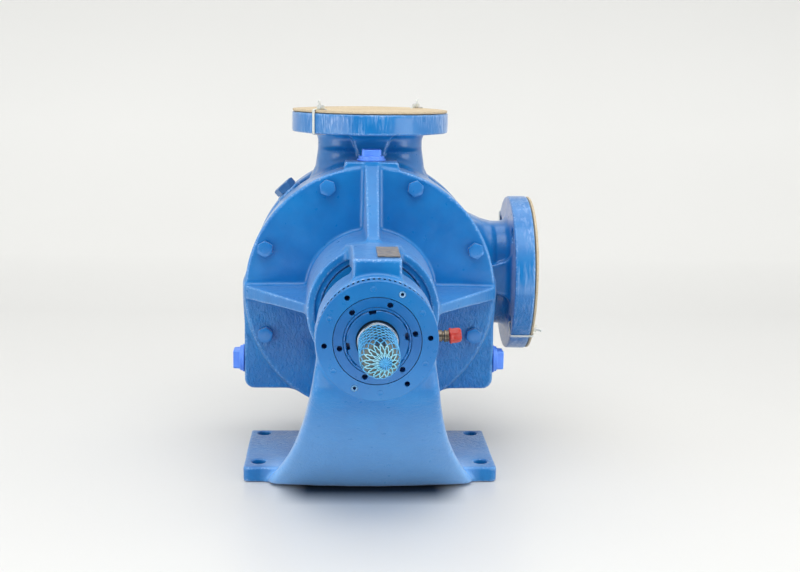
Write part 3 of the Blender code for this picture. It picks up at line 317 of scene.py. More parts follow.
def cylinders(spots, radius, low, high, steps=24):
    """Round cutters along Y at (x, z) spots."""
    bm = bmesh.new()
    for spot in spots:
        lathe(bm, [(low, 0.0), (low, radius), (high, radius), (high, 0.0)], steps, spot, close=False)
    return mesh_from_bm("cutter", bm)


def on_circle(radius, degrees):
    angle = math.radians(degrees)
    return radius * math.cos(angle), radius * math.sin(angle)


# ---- castings


def between(t, stations, sizes):
    """Sizes along an axis, straight between stations."""
    return np.interp(t.ravel(), stations, sizes).reshape(t.shape)


def bracket_field(x, y, z):
    r = np.hypot(x, z)
    disc = smooth_max(smooth_max(r - DISC_R, -y, 2.6), y - BRACKET_REAR, 2.0)
    jacket = smooth_max(rect(x, z + 49.25, 148.0, 69.25, 12.0), slab(y, 8.4, 45.5), 3.2)
    body = smooth_min(disc, jacket, 8.0)
    hub = smooth_max(r - (72.0 + (y - HUB_FRONT) * 0.02), HUB_FRONT - y, 1.6)
    hub = np.maximum(hub, y - 20)
    body = smooth_min(body, hub, 5.0)
    pad = smooth_max(np.abs(x) - (31.0 + (152.0 - z) * 0.09), z - 152.0, 2.5)
    pad = smooth_max(np.maximum(pad, 120.0 - z), slab(y, 3.0, 44.6), 1.8)
    body = smooth_min(body, pad, 3.0)
    body = smooth_min(body, rib(x, z, y, (149.5, -3.0), (74.5, -92.0), (7.9, 6.7), (9.2, 7.8)), 6.5)
    for out in (x, -x):
        body = smooth_min(body, rib(z, out, y, (145.5, -3.0), (73.0, -103.0), (7.6, 5.3), (9.0, 7.0)), 5.0)
    boss = smooth_max(r - BOSS_R, slab(y, BOSS_FRONT, BOSS_REAR), 1.8)
    sink = 6.0 * np.clip((y + 150.0) / 42.0, 0.0, 1.0) ** 2
    arm = smooth_max(rect(x, z - 64.25 + sink, 24.2 + sink, 12.25, 1.6), slab(y, -238.0, -92.0), 2.0)
    body = smooth_min(body, smooth_min(boss, arm, 5.0), 7.0)
    body = smooth_min(body, leg_field(x, y, z), 7.0)
    foot = smooth_max(rect(x, y + 18.15, 142.8, 75.65, 7.0), slab(z, -SHAFT_HEIGHT, -183.0), 2.6)
    web_half = between(z, (-190.0, -174.0, -150.0, -108.0), (90.0, 80.0, 66.0, 60.0))
    web = smooth_max(smooth_max(np.abs(x) - web_half, slab(y, 2.0, 22.0), 4.0), z + 90.0, 2.0)
    web = np.maximum(web, -190.0 - z)
    body = smooth_min(body, smooth_min(foot, web, 7.0), 4.0)
    body = body + 0.22 * lumps(x, y, z, 11.0, 5) + 0.10 * lumps(x, y, z, 5.0, 6)
    body = np.maximum(body, -SHAFT_HEIGHT - z)
    return bracket_cuts(body, x, y, z, r)


def rib(across, out, y, outer, inner, edge_half, root_half):
    """A web whose front edge runs from outer to inner, each (distance from the shaft, y).

    Half thicknesses are given at the outer and the inner end.
    """
    a = np.array(outer)
    t = np.array(inner) - a
    length = np.hypot(*t)
    t /= length
    ahead = (out - a[0]) * -t[1] + (y - a[1]) * t[0]
    along = np.clip(((out - a[0]) * t[0] + (y - a[1]) * t[1]) / length, 0.0, 1.0)
    edge = edge_half[0] + (edge_half[1] - edge_half[0]) * along
    root = root_half[0] + (root_half[1] - root_half[0]) * along
    half = edge + (root - edge) * np.clip(-ahead / 55.0, 0.0, 1.0)
    web = smooth_max(np.abs(across) - half, ahead, 1.3)
    web = smooth_max(web, out - outer[0], 3.0)
    return np.maximum(np.maximum(web, 40.0 - out), y - 20.0)


def leg_field(x, y, z):
    """Flared leg: wide and swept back towards the floor."""
    depth = np.clip((-23.7 - z) / (SHAFT_HEIGHT - 23.7), 0.0, 1.0)
    half = 59.0 + 26.0 * depth + 33.0 * depth**3.2
    sweep = (np.hypot(depth - 0.2, 0.045) + depth - 0.2) / 1.6
    front = BOSS_FRONT + 2.0 + 129.0 * np.clip(sweep, 0.0, 1.0) ** 0.93
    lean = np.clip(1.0 - (depth - 0.1) * 1.4, 0.80, 1.0)
    bow = 11.0 * depth**3 * np.minimum(np.abs(x) / half, 1.1) ** 2
    thick = 54.0 - 32.0 * np.minimum(1.0, depth / 0.7)
    face = (front + bow - y) * lean
    back = (y - front - bow - thick) * lean
    side = (np.abs(x) - half) * np.where(depth > 0.75, 0.86, 0.97)
    leg = smooth_max(smooth_max(side, face, 9.0), back, 7.0)
    leg = smooth_max(leg, 2.2 - SHAFT_HEIGHT - z, 4.0)
    return np.maximum(leg, z)


def bracket_cuts(body, x, y, z, r):
    """Takes the stepped bores along the shaft and the foot's bolt holes out of the bracket."""
    bores = (
        (-124.0, -115.0, 63.2), (-124.0, -104.0, 56.8), (-124.0, -12.0, 34.0), (-13.0, 50.0, 25.3),
        (-250.0, -185.0, 45.3),
    )
    for low, high, radius in bores:
        body = smooth_max(body, -np.maximum(r - radius, slab(y, low, high)), 1.2)
    for hole_x in (-126.4, 126.4):
        for hole_y in (-71.2, 39.6):
            hole = np.maximum(np.hypot(x - hole_x, y - hole_y) - 8.0, z + 170.0)
            body = smooth_max(body, -hole, 1.4)
    return body


def port_field(body, a, b, h, face):
    """Adds a port: a and b across its axis, h along it from the shaft."""
    back = face - FLANGE_THICK
    half_a = between(h, (84, 124, 140, back - 20), (78, 74, 66.5, 63.5)).astype(np.float32)
    throat = between(h, (back - 22, back - 17), (47, 42.5)).astype(np.float32)
    neck = np.maximum(rect(a, b, half_a, throat, 37.0), slab(h, 84.0, face - 4))
    body = smooth_min(body, neck, 13.0)
    flange = smooth_max(np.hypot(a, b) - FLANGE_R, slab(h, back, face), 2.0)
    boss_half = 15.0 + 9.0 * np.clip((h - (back - 27.0)) / 27.0, -1.0, 1.0)
    boss = smooth_max(np.abs(a) - boss_half, slab(b, -54.5, -30.0), 1.8)
    boss = smooth_max(boss, slab(h, back - 27.0, back + 2.0), 1.8)
    body = smooth_min(body, boss, 2.0)
    body = smooth_min(body, flange, 11.0)
    body = np.maximum(body, np.where(h > back - 30, np.hypot(a, b) - FLANGE_R, -1e3))
    for sign_a in (-1, 1):
        for sign_b in (-1, 1):
            hole = np.hypot(a - sign_a * 53.9, b - sign_b * 53.9) - 9.5
            body = smooth_max(body, -np.maximum(hole, slab(h, back - 8.0, face + 5.0)), 1.5)
    return body


def casing_field(x, y, z):
    r = np.hypot(x, z)
    front = smooth_max(r - DISC_R, slab(y, 47.4, 67.4), 3.0)
    rear = smooth_max(r - DISC_R, slab(y, 132.0, 152.0), 3.0)
    body = smooth_min(np.maximum(r - 127.0, slab(y, 48.0, 151.0)), front, 9.0)
    body = smooth_min(body, rear, 9.0)
    body = port_field(body, x, y - PORT_Y, z, TOP_FACE)
    body = port_field(body, SIDE_Z - z, y - PORT_Y, x, SIDE_FACE)
    body = np.maximum(body, np.where(r < 149.0, 47.4 - y, -1e3))
    out = x * math.cos(HEX_PLUG_ANGLE) + z * math.sin(HEX_PLUG_ANGLE)
    aside = z * math.cos(HEX_PLUG_ANGLE) - x * math.sin(HEX_PLUG_ANGLE)
    seat = smooth_max(np.hypot(aside, y - HEX_PLUG_Y) - 17.0, out - HEX_PLUG_SEAT, 2.0)
    body = smooth_min(body, np.maximum(seat, 110.0 - out), 5.0)
    body = body + 0.22 * lumps(x, y, z, 11.0, 7) + 0.10 * lumps(x, y, z, 5.0, 8)
    body = np.maximum(np.maximum(body, z - TOP_FACE), x - SIDE_FACE)
    body = np.maximum(body, -(np.maximum(r - 100.0, slab(y, 40.0, 160.0))))
    body = np.maximum(body, -np.maximum(np.hypot(x, y - PORT_Y) - PORT_BORE_R, 60.0 - z))
    body = np.maximum(body, -np.maximum(np.hypot(z - SIDE_Z, y - PORT_Y) - PORT_BORE_R, 60.0 - x))
    return body


def cover_field(x, y, z):
    r = np.hypot(x, z)
    plate = smooth_max(r - DISC_R, slab(y, 153.4, 173.4), 3.0)
    dome = smooth_max(r - 112.0 + (y - 173.4) * 1.1, y - 180.4, 5.0)
    body = smooth_min(plate, np.maximum(dome, 160.0 - y), 5.0)
    from_idler = np.hypot(x - IDLER_X, z - IDLER_Z)
    boss = smooth_max(from_idler - 40.0 + (y - 180.0) * 0.25, y - 192.0, 3.0)
    body = smooth_min(body, np.maximum(boss, 165.0 - y), 8.0)
    body = body + 0.22 * lumps(x, y, z, 11.0, 9) + 0.10 * lumps(x, y, z, 5.0, 10)
    body = np.maximum(body, 153.4 - y)
    crescent = np.maximum(np.maximum(r - 75.4, 73.1 - from_idler), slab(y, 59.8, 158.0))
    crescent = np.maximum(crescent, x + z + 16.0)
    body = np.minimum(body, crescent)
    return np.maximum(body, -np.maximum(from_idler - 14.3, y - 184.0))


def casting(name, field, low, high, pitch, material):
    axes = grid(low, high, pitch)
    points, quads = skin(field(*axes), *axes)
    mesh = mesh_of(name, points, quads)
    return add_piece(f"{name}_casting", mesh, material, "pump_body", [name])


# ---- finishes


def nodes_of(name):
    material = bpy.data.materials.new(name)
    material.use_nodes = True
    tree = material.node_tree
    return material, tree, tree.nodes["Principled BSDF"]


def feed(tree, node, inputs):
    """Sets a node's inputs, by name or number, to values or to other nodes' outputs."""
    for key, value in inputs.items():
        socket = node.inputs[key]
        if isinstance(value, (int, float, tuple)):
            socket.default_value = (*value, 1.0) if socket.type == "RGBA" else value
        else:
            tree.links.new(value, socket)


def new_node(tree, kind, inputs):
    node = tree.nodes.new(kind)
    feed(tree, node, inputs)
    return node


def coordinates(tree, scale=(1.0, 1.0, 1.0)):
    where = tree.nodes.new("ShaderNodeTexCoord").outputs["Object"]
    return new_node(tree, "ShaderNodeMapping", {"Vector": where, "Scale": scale}).outputs["Vector"]


def noise(tree, vector, scale, detail=2.0, roughness=0.5, distortion=0.0):
    inputs = {
        "Vector": vector, "Scale": scale, "Detail": detail, "Roughness": roughness,
        "Distortion": distortion,
    }
    return new_node(tree, "ShaderNodeTexNoise", inputs).outputs["Fac"]


def remap(tree, value, low, high, to_low=0.0, to_high=1.0):
    inputs = dict(enumerate((value, low, high, to_low, to_high)))
    return new_node(tree, "ShaderNodeMapRange", inputs).outputs["Result"]


def maths(tree, operation, *values):
    node = new_node(tree, "ShaderNodeMath", dict(enumerate(values)))
    node.operation = operation
    return node.outputs[0]


def product(tree, value, *factors):
    for factor in factors:
        value = maths(tree, "MULTIPLY", value, factor)
    return value


def axes_of(tree, vector):
    """The X, Y and Z outputs of a vector."""
    return new_node(tree, "ShaderNodeSeparateXYZ", {0: vector}).outputs


def mix_colour(tree, factor, a, b):
    node = tree.nodes.new("ShaderNodeMix")
    node.data_type = "RGBA"
    feed(tree, node, {0: factor, 6: a, 7: b})
    return node.outputs[2]


def dress(tree, shader, values, heights=()):
    """Sets a shader's inputs and chains its bumps, each (height, strength, distance in mm)."""
    normal = {}
    for height, strength, distance in heights:
        inputs = {"Height": height, "Strength": strength, "Distance": distance * MM, **normal}
        normal = {"Normal": new_node(tree, "ShaderNodeBump", inputs).outputs["Normal"]}
    feed(tree, shader, {**values, **normal})


BLUE = (0.002, 0.192, 0.530)
BLUE_DEEP = (0.001, 0.150, 0.455)
# Pale edge colour: partly thin, worn enamel and partly a painted highlight.
BLUE_EDGE_WEAR_AND_HIGHLIGHT = (0.13, 0.34, 0.70)
# Painted light on the lower front of the bracket, standing in for light bounced up from the floor.
BLUE_PAINTED_BOUNCE_LIGHT = (0.20, 0.48, 0.92)
# Pale specks on the edges: painted glints.
BLUE_GLINT = (0.42, 0.60, 0.86)
# Painted highlights along the flanges' brush marks.
BLUE_BRUSH_HIGHLIGHT = (0.30, 0.47, 0.76)


def enamel(name, rough=0.34, grain=1.0, streaks=False, coat=0.25):
    """Brushed machine enamel on a casting: paler on the edges, partly thin paint and partly a painted
    highlight, with painted glints; darker in the hollows; painted floor-bounced light low on the front of
    the leg.
    """
    material, tree, shader = nodes_of(name)
    where = coordinates(tree)
    colour = clouded(tree, where, BLUE_DEEP, BLUE)
    geometry = tree.nodes.new("ShaderNodeNewGeometry")
    fine = noise(tree, where, 420.0, 3.0, 0.6)
    ragged = remap(tree, fine, 0.0, 1.0, -0.025, 0.025)
    point = maths(tree, "ADD", geometry.outputs["Pointiness"], ragged)
    # Paler on the convex edges: partly worn paint, partly a painted highlight.
    colour = mix_colour(tree, remap(tree, point, 0.512, 0.575, 0.0, 0.85), colour, BLUE_EDGE_WEAR_AND_HIGHLIGHT)
    colour = mix_colour(tree, remap(tree, point, 0.47, 0.40, 0.0, 0.6), colour, BLUE_DEEP)
    spot = axes_of(tree, where)
    # Paler low on the front of the leg and foot: painted floor-bounced light.
    low = remap(tree, spot["Z"], 0.130, 0.01, 0.0, 0.92)
    ahead = remap(tree, spot["Y"], -0.03, -0.07)
    inward = remap(tree, maths(tree, "ABSOLUTE", spot["X"]), 0.125, 0.105)
    colour = mix_colour(tree, product(tree, low, ahead, inward), colour, BLUE_PAINTED_BOUNCE_LIGHT)
    # Pale specks where fine noise meets the sharpest edges: painted glints of light.
    glint_dots = product(tree, remap(tree, fine, 0.56, 0.62), remap(tree, point, 0.52, 0.57), 0.8)
    colour = mix_colour(tree, glint_dots, colour, BLUE_GLINT)
    heights = [(sand_skin(tree, where), 1.0, 0.75)]
    if streaks:
        brush, lit = flange_streaks(tree, where, spot)
        heights.append((brush, 0.6, 0.35))
        # Pale streaks on the flange rims: painted highlights on the brush marks.
        colour = mix_colour(tree, lit, colour, BLUE_BRUSH_HIGHLIGHT)
    return coated(material, tree, shader, where, colour, rough, grain, coat, 0.22, heights)


def flange_streaks(tree, where, spot):
    """Brush marks on the rims of both flanges, and how strongly their streaks are painted pale as
    highlights.
    """
    top = noise(tree, coordinates(tree, (1.0, 1.0, 0.12)), 300.0, 3.0, 0.6, 1.6)
    side = noise(tree, coordinates(tree, (1.0, 0.6, 0.10)), 220.0, 3.0, 0.6, 0.8)
    rim_z, rim_x = PUMP.z + (TOP_FACE - 25) * MM, (SIDE_FACE - 25) * MM
    on_top = remap(tree, spot["Z"], rim_z, rim_z + 2 * MM)
    on_side = remap(tree, spot["X"], rim_x, rim_x + 2 * MM)
    brush = maths(tree, "ADD", product(tree, top, on_top), product(tree, side, on_side))
    patch = noise(tree, where, 17.0, 2.0, 0.5)
    strength = remap(tree, on_side, 0.0, 1.0, 0.85, 0.45)
    return brush, product(tree, remap(tree, brush, 0.47, 0.66), remap(tree, patch, 0.46, 0.60), strength)


def smooth_enamel(name, rough, grain, blue, deep, coat=0.25, haze=0.22):
    """The same enamel on a machined or forged part, without the casting's skin and its pale edges, which
    are partly worn and partly painted highlights.
    """
    material, tree, shader = nodes_of(name)
    where = coordinates(tree)
    return coated(material, tree, shader, where, clouded(tree, where, deep, blue), rough, grain, coat, haze)


def clouded(tree, where, deep, blue):
    cloud = noise(tree, where, 22.0, 4.0, 0.6)
    return mix_colour(tree, remap(tree, cloud, 0.35, 0.65), deep, blue)


def coated(material, tree, shader, where, colour, rough, grain, coat, haze, heights=()):
    """Gives a paint its colour, grain, gloss and clear top."""
    grain_fine = noise(tree, where, 520.0, 3.0, 0.65)
    grain_wide = noise(tree, where, 120.0, 3.0, 0.55)
    speck = new_node(tree, "ShaderNodeTexVoronoi", {"Vector": where, "Scale": 260.0})
    pits = remap(tree, speck.outputs["Distance"], 0.0, 0.35)
    skin_heights = [
        (grain_wide, 0.5 * grain, 0.30), (grain_fine, 0.45 * grain, 0.16), (pits, 0.12 * grain, 0.10),
    ]
    gloss = remap(tree, grain_wide, 0.3, 0.7, rough - 0.07, rough + 0.09)
    values = {
        "Base Color": colour, "Roughness": gloss, "IOR": 1.45, "Sheen Weight": haze, "Sheen Roughness": 0.4,
        "Coat Weight": coat, "Coat Roughness": 0.14,
    }
    dress(tree, shader, values, skin_heights + list(heights))
    return material


def sand_skin(tree, where):
    """Coarse sand-cast mottling, strongest low on the jacket and faint on the leg."""
    spot = axes_of(tree, where)
    low = remap(tree, spot["Z"], PUMP.z + 10 * MM, PUMP.z - 40 * MM)
    behind = remap(tree, spot["Y"], PUMP.y - 40 * MM, PUMP.y - 5 * MM, 0.22, 1.0)
    mottle = noise(tree, coordinates(tree, (1.0, 1.0, 0.55)), 260.0, 3.0, 0.6, 0.8)
    return product(tree, remap(tree, mottle, 0.38, 0.62), low, behind)


def metal(name, colour, dark, rough, stretch=(1.0, 1.0, 1.0)):
    """Machined metal with fine turning marks or grinding grain and slight tarnish."""
    material, tree, shader = nodes_of(name)
    tarnish = noise(tree, coordinates(tree), 90.0, 4.0, 0.6)
    grain = noise(tree, coordinates(tree, stretch), 900.0, 3.0, 0.6)
    colour = mix_colour(tree, remap(tree, tarnish, 0.4, 0.68), colour, dark)
    gloss = remap(tree, grain, 0.3, 0.7, rough - 0.08, rough + 0.12)
    values = {"Base Color": colour, "Roughness": gloss, "Metallic": 1.0}
    dress(tree, shader, values, [(grain, 0.35, 0.04), (tarnish, 0.2, 0.1)])
    return material


def plastic(name, colour, pale, rough, through=0.0, scale=180.0, depth=0.12):
    """Moulded plastic with a faint flow pattern and scuffs, lit a little from within."""
    material, tree, shader = nodes_of(name)
    where = coordinates(tree)
    flow = noise(tree, where, scale * 0.25, 3.0, 0.55, 0.6)
    scuff = noise(tree, coordinates(tree, (1.0, 0.15, 1.0)), scale * 3, 4.0, 0.7)
    tone = product(tree, remap(tree, flow, 0.35, 0.7), 0.8)
    values = {
        "Base Color": mix_colour(tree, tone, colour, pale),
        "Roughness": remap(tree, scuff, 0.35, 0.7, rough - 0.06, rough + 0.14),
        "Subsurface Weight": through, "Subsurface Radius": (0.004, 0.004, 0.006), "Subsurface Scale": 0.4,
    }
    dress(tree, shader, values, [(scuff, 0.25, 0.05), (flow, 0.4, depth)])
    return material


def fibreboard(name):
    """Raw hardboard: pressed fibres, with darker cloudy stains."""
    material, tree, shader = nodes_of(name)
    fibres = noise(tree, coordinates(tree, (1.0, 0.35, 1.0)), 700.0, 5.0, 0.7, 1.5)
    across = noise(tree, coordinates(tree, (0.35, 1.0, 1.0)), 640.0, 5.0, 0.7, 1.5)
    both = product(tree, maths(tree, "ADD", fibres, across), 0.5)
    cloud = noise(tree, coordinates(tree), 26.0, 4.0, 0.6)
    base = mix_colour(tree, remap(tree, both, 0.38, 0.62), (0.42, 0.33, 0.21), (0.68, 0.57, 0.40))
    stained = mix_colour(tree, remap(tree, cloud, 0.45, 0.7, 0.0, 0.35), base, (0.40, 0.29, 0.17))
    values = {"Base Color": stained, "Roughness": 0.82}
    dress(tree, shader, values, [(both, 0.6, 0.22), (cloud, 0.3, 0.5)])
    return material


def tag_metal(name):
    """Dull stamped tag, blotched where paint and dirt have caught on it."""
    material, tree, shader = nodes_of(name)
    where = coordinates(tree)
    blotch = noise(tree, where, 190.0, 4.0, 0.65)
    fine = noise(tree, where, 900.0, 3.0, 0.6)
    colour = mix_colour(tree, remap(tree, blotch, 0.38, 0.62), (0.20, 0.19, 0.19), (0.36, 0.32, 0.27))
    colour = mix_colour(tree, remap(tree, fine, 0.60, 0.72, 0.0, 0.6), colour, (0.50, 0.34, 0.16))
    gloss = remap(tree, blotch, 0.3, 0.7, 0.38, 0.62)
    values = {"Base Color": colour, "Metallic": 0.55, "Roughness": gloss}
    dress(tree, shader, values, [(blotch, 0.4, 0.15), (fine, 0.3, 0.05)])
    return material


def floor_finish():
    """White sweep with a painted shadow where the foot stands; it glows towards the back, and a glowing
    strip ahead of the picture lights the pump from low in front.
    """
    material, tree, shader = nodes_of("sweep_paper")
    where = coordinates(tree)
    cloud = noise(tree, where, 1.2, 2.0, 0.5)
    fine = noise(tree, where, 300.0, 3.0, 0.6)
    spot = axes_of(tree, where)
    paper = mix_colour(tree, cloud, (0.63, 0.63, 0.62), (0.67, 0.67, 0.66))
    # Painted contact shadow: the paper is darkened under the foot and a little ahead of the leg.
    beside = remap(tree, maths(tree, "ABSOLUTE", spot["X"]), 0.105, 0.070)
    shade = product(tree, beside, remap(tree, spot["Y"], -0.150, -0.104), remap(tree, spot["Y"], 0.05, 0.0))
    behind = remap(tree, spot["Y"], 0.9, 2.4, 0.0, 0.26)
    before = remap(tree, spot["Y"], -0.40, -0.48, 0.0, 1.7)
    strip = product(tree, before, remap(tree, spot["Y"], -0.95, -0.80))
    values = {
        "Base Color": mix_colour(tree, shade, paper, (0.02, 0.03, 0.05)),
        "Roughness": remap(tree, fine, 0.3, 0.7, 0.30, 0.38),
        "Emission Color": (1.0, 1.0, 0.97), "Emission Strength": maths(tree, "ADD", behind, strip),
    }
    dress(tree, shader, values)
    return material


# ---- hardware


def hexagon(half):
    """Reach of a hexagon at an angle, from half its width across flats."""
    return lambda angle: half / math.cos((angle + math.pi / 6) % (math.pi / 3) - math.pi / 6)


def hexagon_rings(across, chamfer_r, height, swell):
    """Outline rings of a hexagon head along Y, its seat on the origin, as lathe points."""
    flat = hexagon(across / 2)
    return [
        (-height - swell, 0.0),
        (-height - swell * 0.6, chamfer_r * 0.55),
        (-height, chamfer_r - 0.15),
        (lambda angle: -(height - max(0.0, flat(angle) - chamfer_r) * 0.5), flat),
        (-0.9, flat),
        (-0.7, lambda angle: min(flat(angle), across / 2 * 1.02)),
        (0.0, across / 2 * 1.01),
    ]


def bolt(name, spot, seat, facing, turn_deg, material, node):
    """Hexagon cap screw, its head towards -Y when facing is -1."""
    outline = hexagon_rings(BOLT_AF, BOLT_AF / 2 - 0.3, BOLT_HEAD, 0.25)
    outline += [(0.0, 5.4), (24.0, 5.4), (24.0, 0.0)]
    turn = Matrix.Rotation(math.radians(turn_deg), 4, "Y")
    if facing > 0:
        turn = Matrix.Rotation(math.pi, 4, "Z") @ turn
    put = Matrix.Translation((spot[0], seat, spot[1])) @ turn
    bevel(add_turned(name, outline, 72, put, material, node), 0.45, 2, 25)


def build_bolts(paint):
    rng = np.random.default_rng(3)
    for k in range(8):
        spot = on_circle(BOLT_CIRCLE_R, 22.5 + 45 * k)
        turns = rng.uniform(-14, 14, 2)
        bolt(f"disc_screw_{k + 1}", spot, -0.1, -1, turns[0], paint, f"bracket_bolt_{k + 1}")
        bolt(f"rear_screw_{k + 1}", spot, 173.5, 1, turns[1], paint, f"cover_bolt_{k + 1}")


def notched_ring(bm):
    """Flange and spigot of the bearing housing, with spanner notches round its back edge."""
    floor_r, shade_wall_y = HOUSING_R - NOTCH_DEPTH, HOUSING_BACK - 0.8
    front = [
        (HOUSING_FRONT, CAP_R + 0.7), (HOUSING_FRONT, HOUSING_R - 0.7), (HOUSING_FRONT + 0.7, HOUSING_R),
        (NOTCH_FRONT, HOUSING_R),
    ]
    tooth = [(NOTCH_FRONT, HOUSING_R), (shade_wall_y, HOUSING_R), (shade_wall_y, HOUSING_R), (HOUSING_BACK, HOUSING_R)]
    lip_r = HOUSING_R - 0.2
    # Each notch is closed at its back by a thin wall, which carries painted shade in place of the shadowed
    # gap behind it.
    notch = [(NOTCH_FRONT, floor_r), (shade_wall_y, floor_r), (shade_wall_y, lip_r), (HOUSING_BACK, lip_r)]
    inner = [
        (HOUSING_BACK, 45.0), (-190.0, 45.0), (-189.0, 44.0), (-189.0, CAP_BORE_R), (-200.0, CAP_BORE_R),
        (-200.0, 40.3), (-248.7, 40.3), (-248.7, CAP_R + 0.7),
    ]
    columns = []
    for k in range(NOTCHES):
        for half, edge in ((0, tooth), (1, notch)):
            for j in range(3):
                angle = 2 * math.pi * (k + (half + j / 2) / 2) / NOTCHES
                columns.append([bm.verts.new(polar(r, angle, y)) for y, r in front + edge + inner])
    join_rings(bm, columns, close=True)
    bmesh.ops.remove_doubles(bm, verts=bm.verts, dist=WELD)
    bmesh.ops.dissolve_degenerate(bm, dist=WELD, edges=bm.edges)


def shade_notches(mesh, paint):
    """Paints shade, as a second, dark finish, on the floors, sides and back walls of the spanner notches.
    """
    mesh.materials.append(paint)
    for face in mesh.polygons:
        centre = (face.center - PUMP) / MM
        sunk = 56.0 < math.hypot(centre.x, centre.z) < HOUSING_R - 0.6
        if sunk and NOTCH_FRONT - 0.5 < centre.y < HOUSING_BACK - 0.2:
            face.material_index = 1


def build_housing(paint, screw_paint, cap_paint, notch_shade_paint):
    """Bearing housing with its pin holes, painted-over plugs, two set screws and end cap."""
    bm = bmesh.new()
    notched_ring(bm)
    housing = add_drawn("thrust_housing", bm, paint, "bearing_housing")
    open_spots = [on_circle(PIN_CIRCLE_R, a) for a in (3.7, 125, 185.6, 305)]
    screw_spots = [on_circle(PIN_CIRCLE_R, a) for a in (63, 245)]
    cut_with(housing, cylinders(open_spots, PIN_HOLE_R, HOUSING_FRONT - 2, HOUSING_BACK + 2))
    cut_with(housing, cylinders(screw_spots, 3.5, HOUSING_FRONT - 2, HOUSING_BACK + 2))
    bevel(housing, 0.3, 2, 40)
    shade_notches(housing.data, notch_shade_paint)
    bm = bmesh.new()
    swelling = [
        (-262.0, 0.0), (-262.0, 1.9), (-262.1, 2.3), (-262.05, 2.7), (-261.7, 3.1), (-261.2, 3.1),
        (-261.2, 0.0),
    ]
    for degrees in (33, 95, 155, 215, 274, 335):
        lathe(bm, swelling, 24, on_circle(PIN_CIRCLE_R, degrees), close=False)
    add_drawn("painted_plugs", bm, paint, None, sharp_deg=60)
    socket = hexagon(1.65)
    outline = [
        (-254.0, 0.0), (-254.0, socket), (-261.9, socket), (-262.3, 2.4), (-262.1, 3.0), (-261.4, 3.3),
        (-250.0, 3.3), (-250.0, 0.0),
    ]
    for number, (x, z) in enumerate(screw_spots, 1):
        put = Matrix.Translation((x, 0.0, z))
        name, node = f"socket_screw_{number}", f"set_screw_{number}"
        add_turned(name, outline, 48, put, screw_paint, node)
    bm = bmesh.new()
    outline = [
        (HOUSING_FRONT, CAP_BORE_R), (HOUSING_FRONT, CAP_R), (-249.2, CAP_R), (-249.2, 39.8),
        (-230.8, 39.8), (-230.8, 35.0), (-243.4, 35.0), (-243.4, CAP_BORE_R),
    ]
    lathe(bm, outline, 144)
    cap = add_drawn("end_cap", bm, cap_paint, "bearing_end_cap")
    pin_spots = [on_circle(CAP_PIN_CIRCLE_R, 11.7 + 60 * k) for k in range(6)]
    cut_with(cap, cylinders(pin_spots, PIN_HOLE_R, HOUSING_FRONT - 2, -253))
    bevel(cap, 0.4, 2, 40)


def slotted(size):
    """Radius of the nut at an angle: it drops to the slots' floor over 6.6 degrees either way."""
    def at(angle):
        off = abs((math.degrees(angle) - 10.0 + 45.0) % 90.0 - 45.0)
        return min(size, NUT_R - 3.2) if off < 6.6 else size
    return at


def build_nut(paint):
    """Slotted locknut and the tabbed washer behind and round it."""
    bm = bmesh.new()
    bore = SEAT_R + 0.8
    lathe(bm, [(NUT_FRONT + 0.6, bore), (NUT_FRONT, bore + 0.7), (NUT_FRONT, slotted(NUT_R - 0.6)),
               (NUT_FRONT + 0.6, slotted(NUT_R)), (NUT_BACK, slotted(NUT_R)), (NUT_BACK, bore)], 288)
    add_drawn("slotted_nut", bm, paint, "locknut", "shaft_assembly")
    bm = bmesh.new()
    rim = [
        (-254.1, SEAT_R + 0.3), (-254.1, NUT_R + 0.4), (-261.2, NUT_R + 0.4), (-261.5, NUT_R + 0.8),
        (-261.5, CAP_BORE_R - 0.8), (-261.2, CAP_BORE_R - 0.4), (-253.0, CAP_BORE_R - 0.4),
        (-253.0, SEAT_R + 0.3),
    ]
    lathe(bm, rim, 180)
    for k in range(15):
        if k != 3:
            washer_tooth(bm, 31.0 + 24 * k)
    add_drawn("tab_washer", bm, paint, "lockwasher", "shaft_assembly")


def washer_tooth(bm, degrees):
    """One crescent tooth turned up round the nut."""
    rows = []
    for k in range(9):
        share = k / 4 - 1
        angle = math.radians(degrees + 7.5 * share)
        rise = 2.1 * math.sqrt(max(0.0, 1 - share * share))
        section = (
            (NUT_R + 0.5, -261.0), (NUT_R + 1.5, -261.3 - rise), (NUT_R + 2.4, -261.3 - rise * 0.8),
            (CAP_BORE_R - 0.3, -261.0),
        )
        rows.append([bm.verts.new(polar(r, angle, y)) for r, y in section])
    strand(bm, rows)


def build_shaft(steel):
    """Stepped shaft with a centre hole and a keyway in its free end."""
    bm = bmesh.new()
    outline = [
        (SHAFT_END + 6.0, 0.0), (SHAFT_END + 6.0, 1.2), (SHAFT_END + 1.9, 1.4), (SHAFT_END, 3.6),
        (SHAFT_END, 14.6), (SHAFT_END + 1.5, 15.9), (SHAFT_END + 6.5, SHAFT_R - 0.3),
        (SHAFT_END + 9.0, SHAFT_R), (-272.0, SHAFT_R), (-270.6, 19.6), (-269.0, SEAT_R - 0.2),
        (-266.0, SEAT_R), (-200.0, SEAT_R), (-200.0, 24.5), (-182.0, 24.5), (-180.0, 19.0),
        (58.4, 19.0), (58.4, 0.0),
    ]
    lathe(bm, outline, 96, close=False)
    shaft = add_drawn("drive_shaft", bm, steel, "shaft", "shaft_assembly")
    cutter = bmesh.new()
    bmesh.ops.create_cube(cutter, size=1.0)
    put = Matrix.Translation((0, SHAFT_END + 30.0, SHAFT_R)) @ Matrix.Diagonal((9.5, 64.0, 9.6, 1.0))
    bmesh.ops.transform(cutter, matrix=put, verts=cutter.verts)
    cut_with(shaft, mesh_from_bm("cutter", cutter))
    bevel(shaft, 0.3, 2, 45)


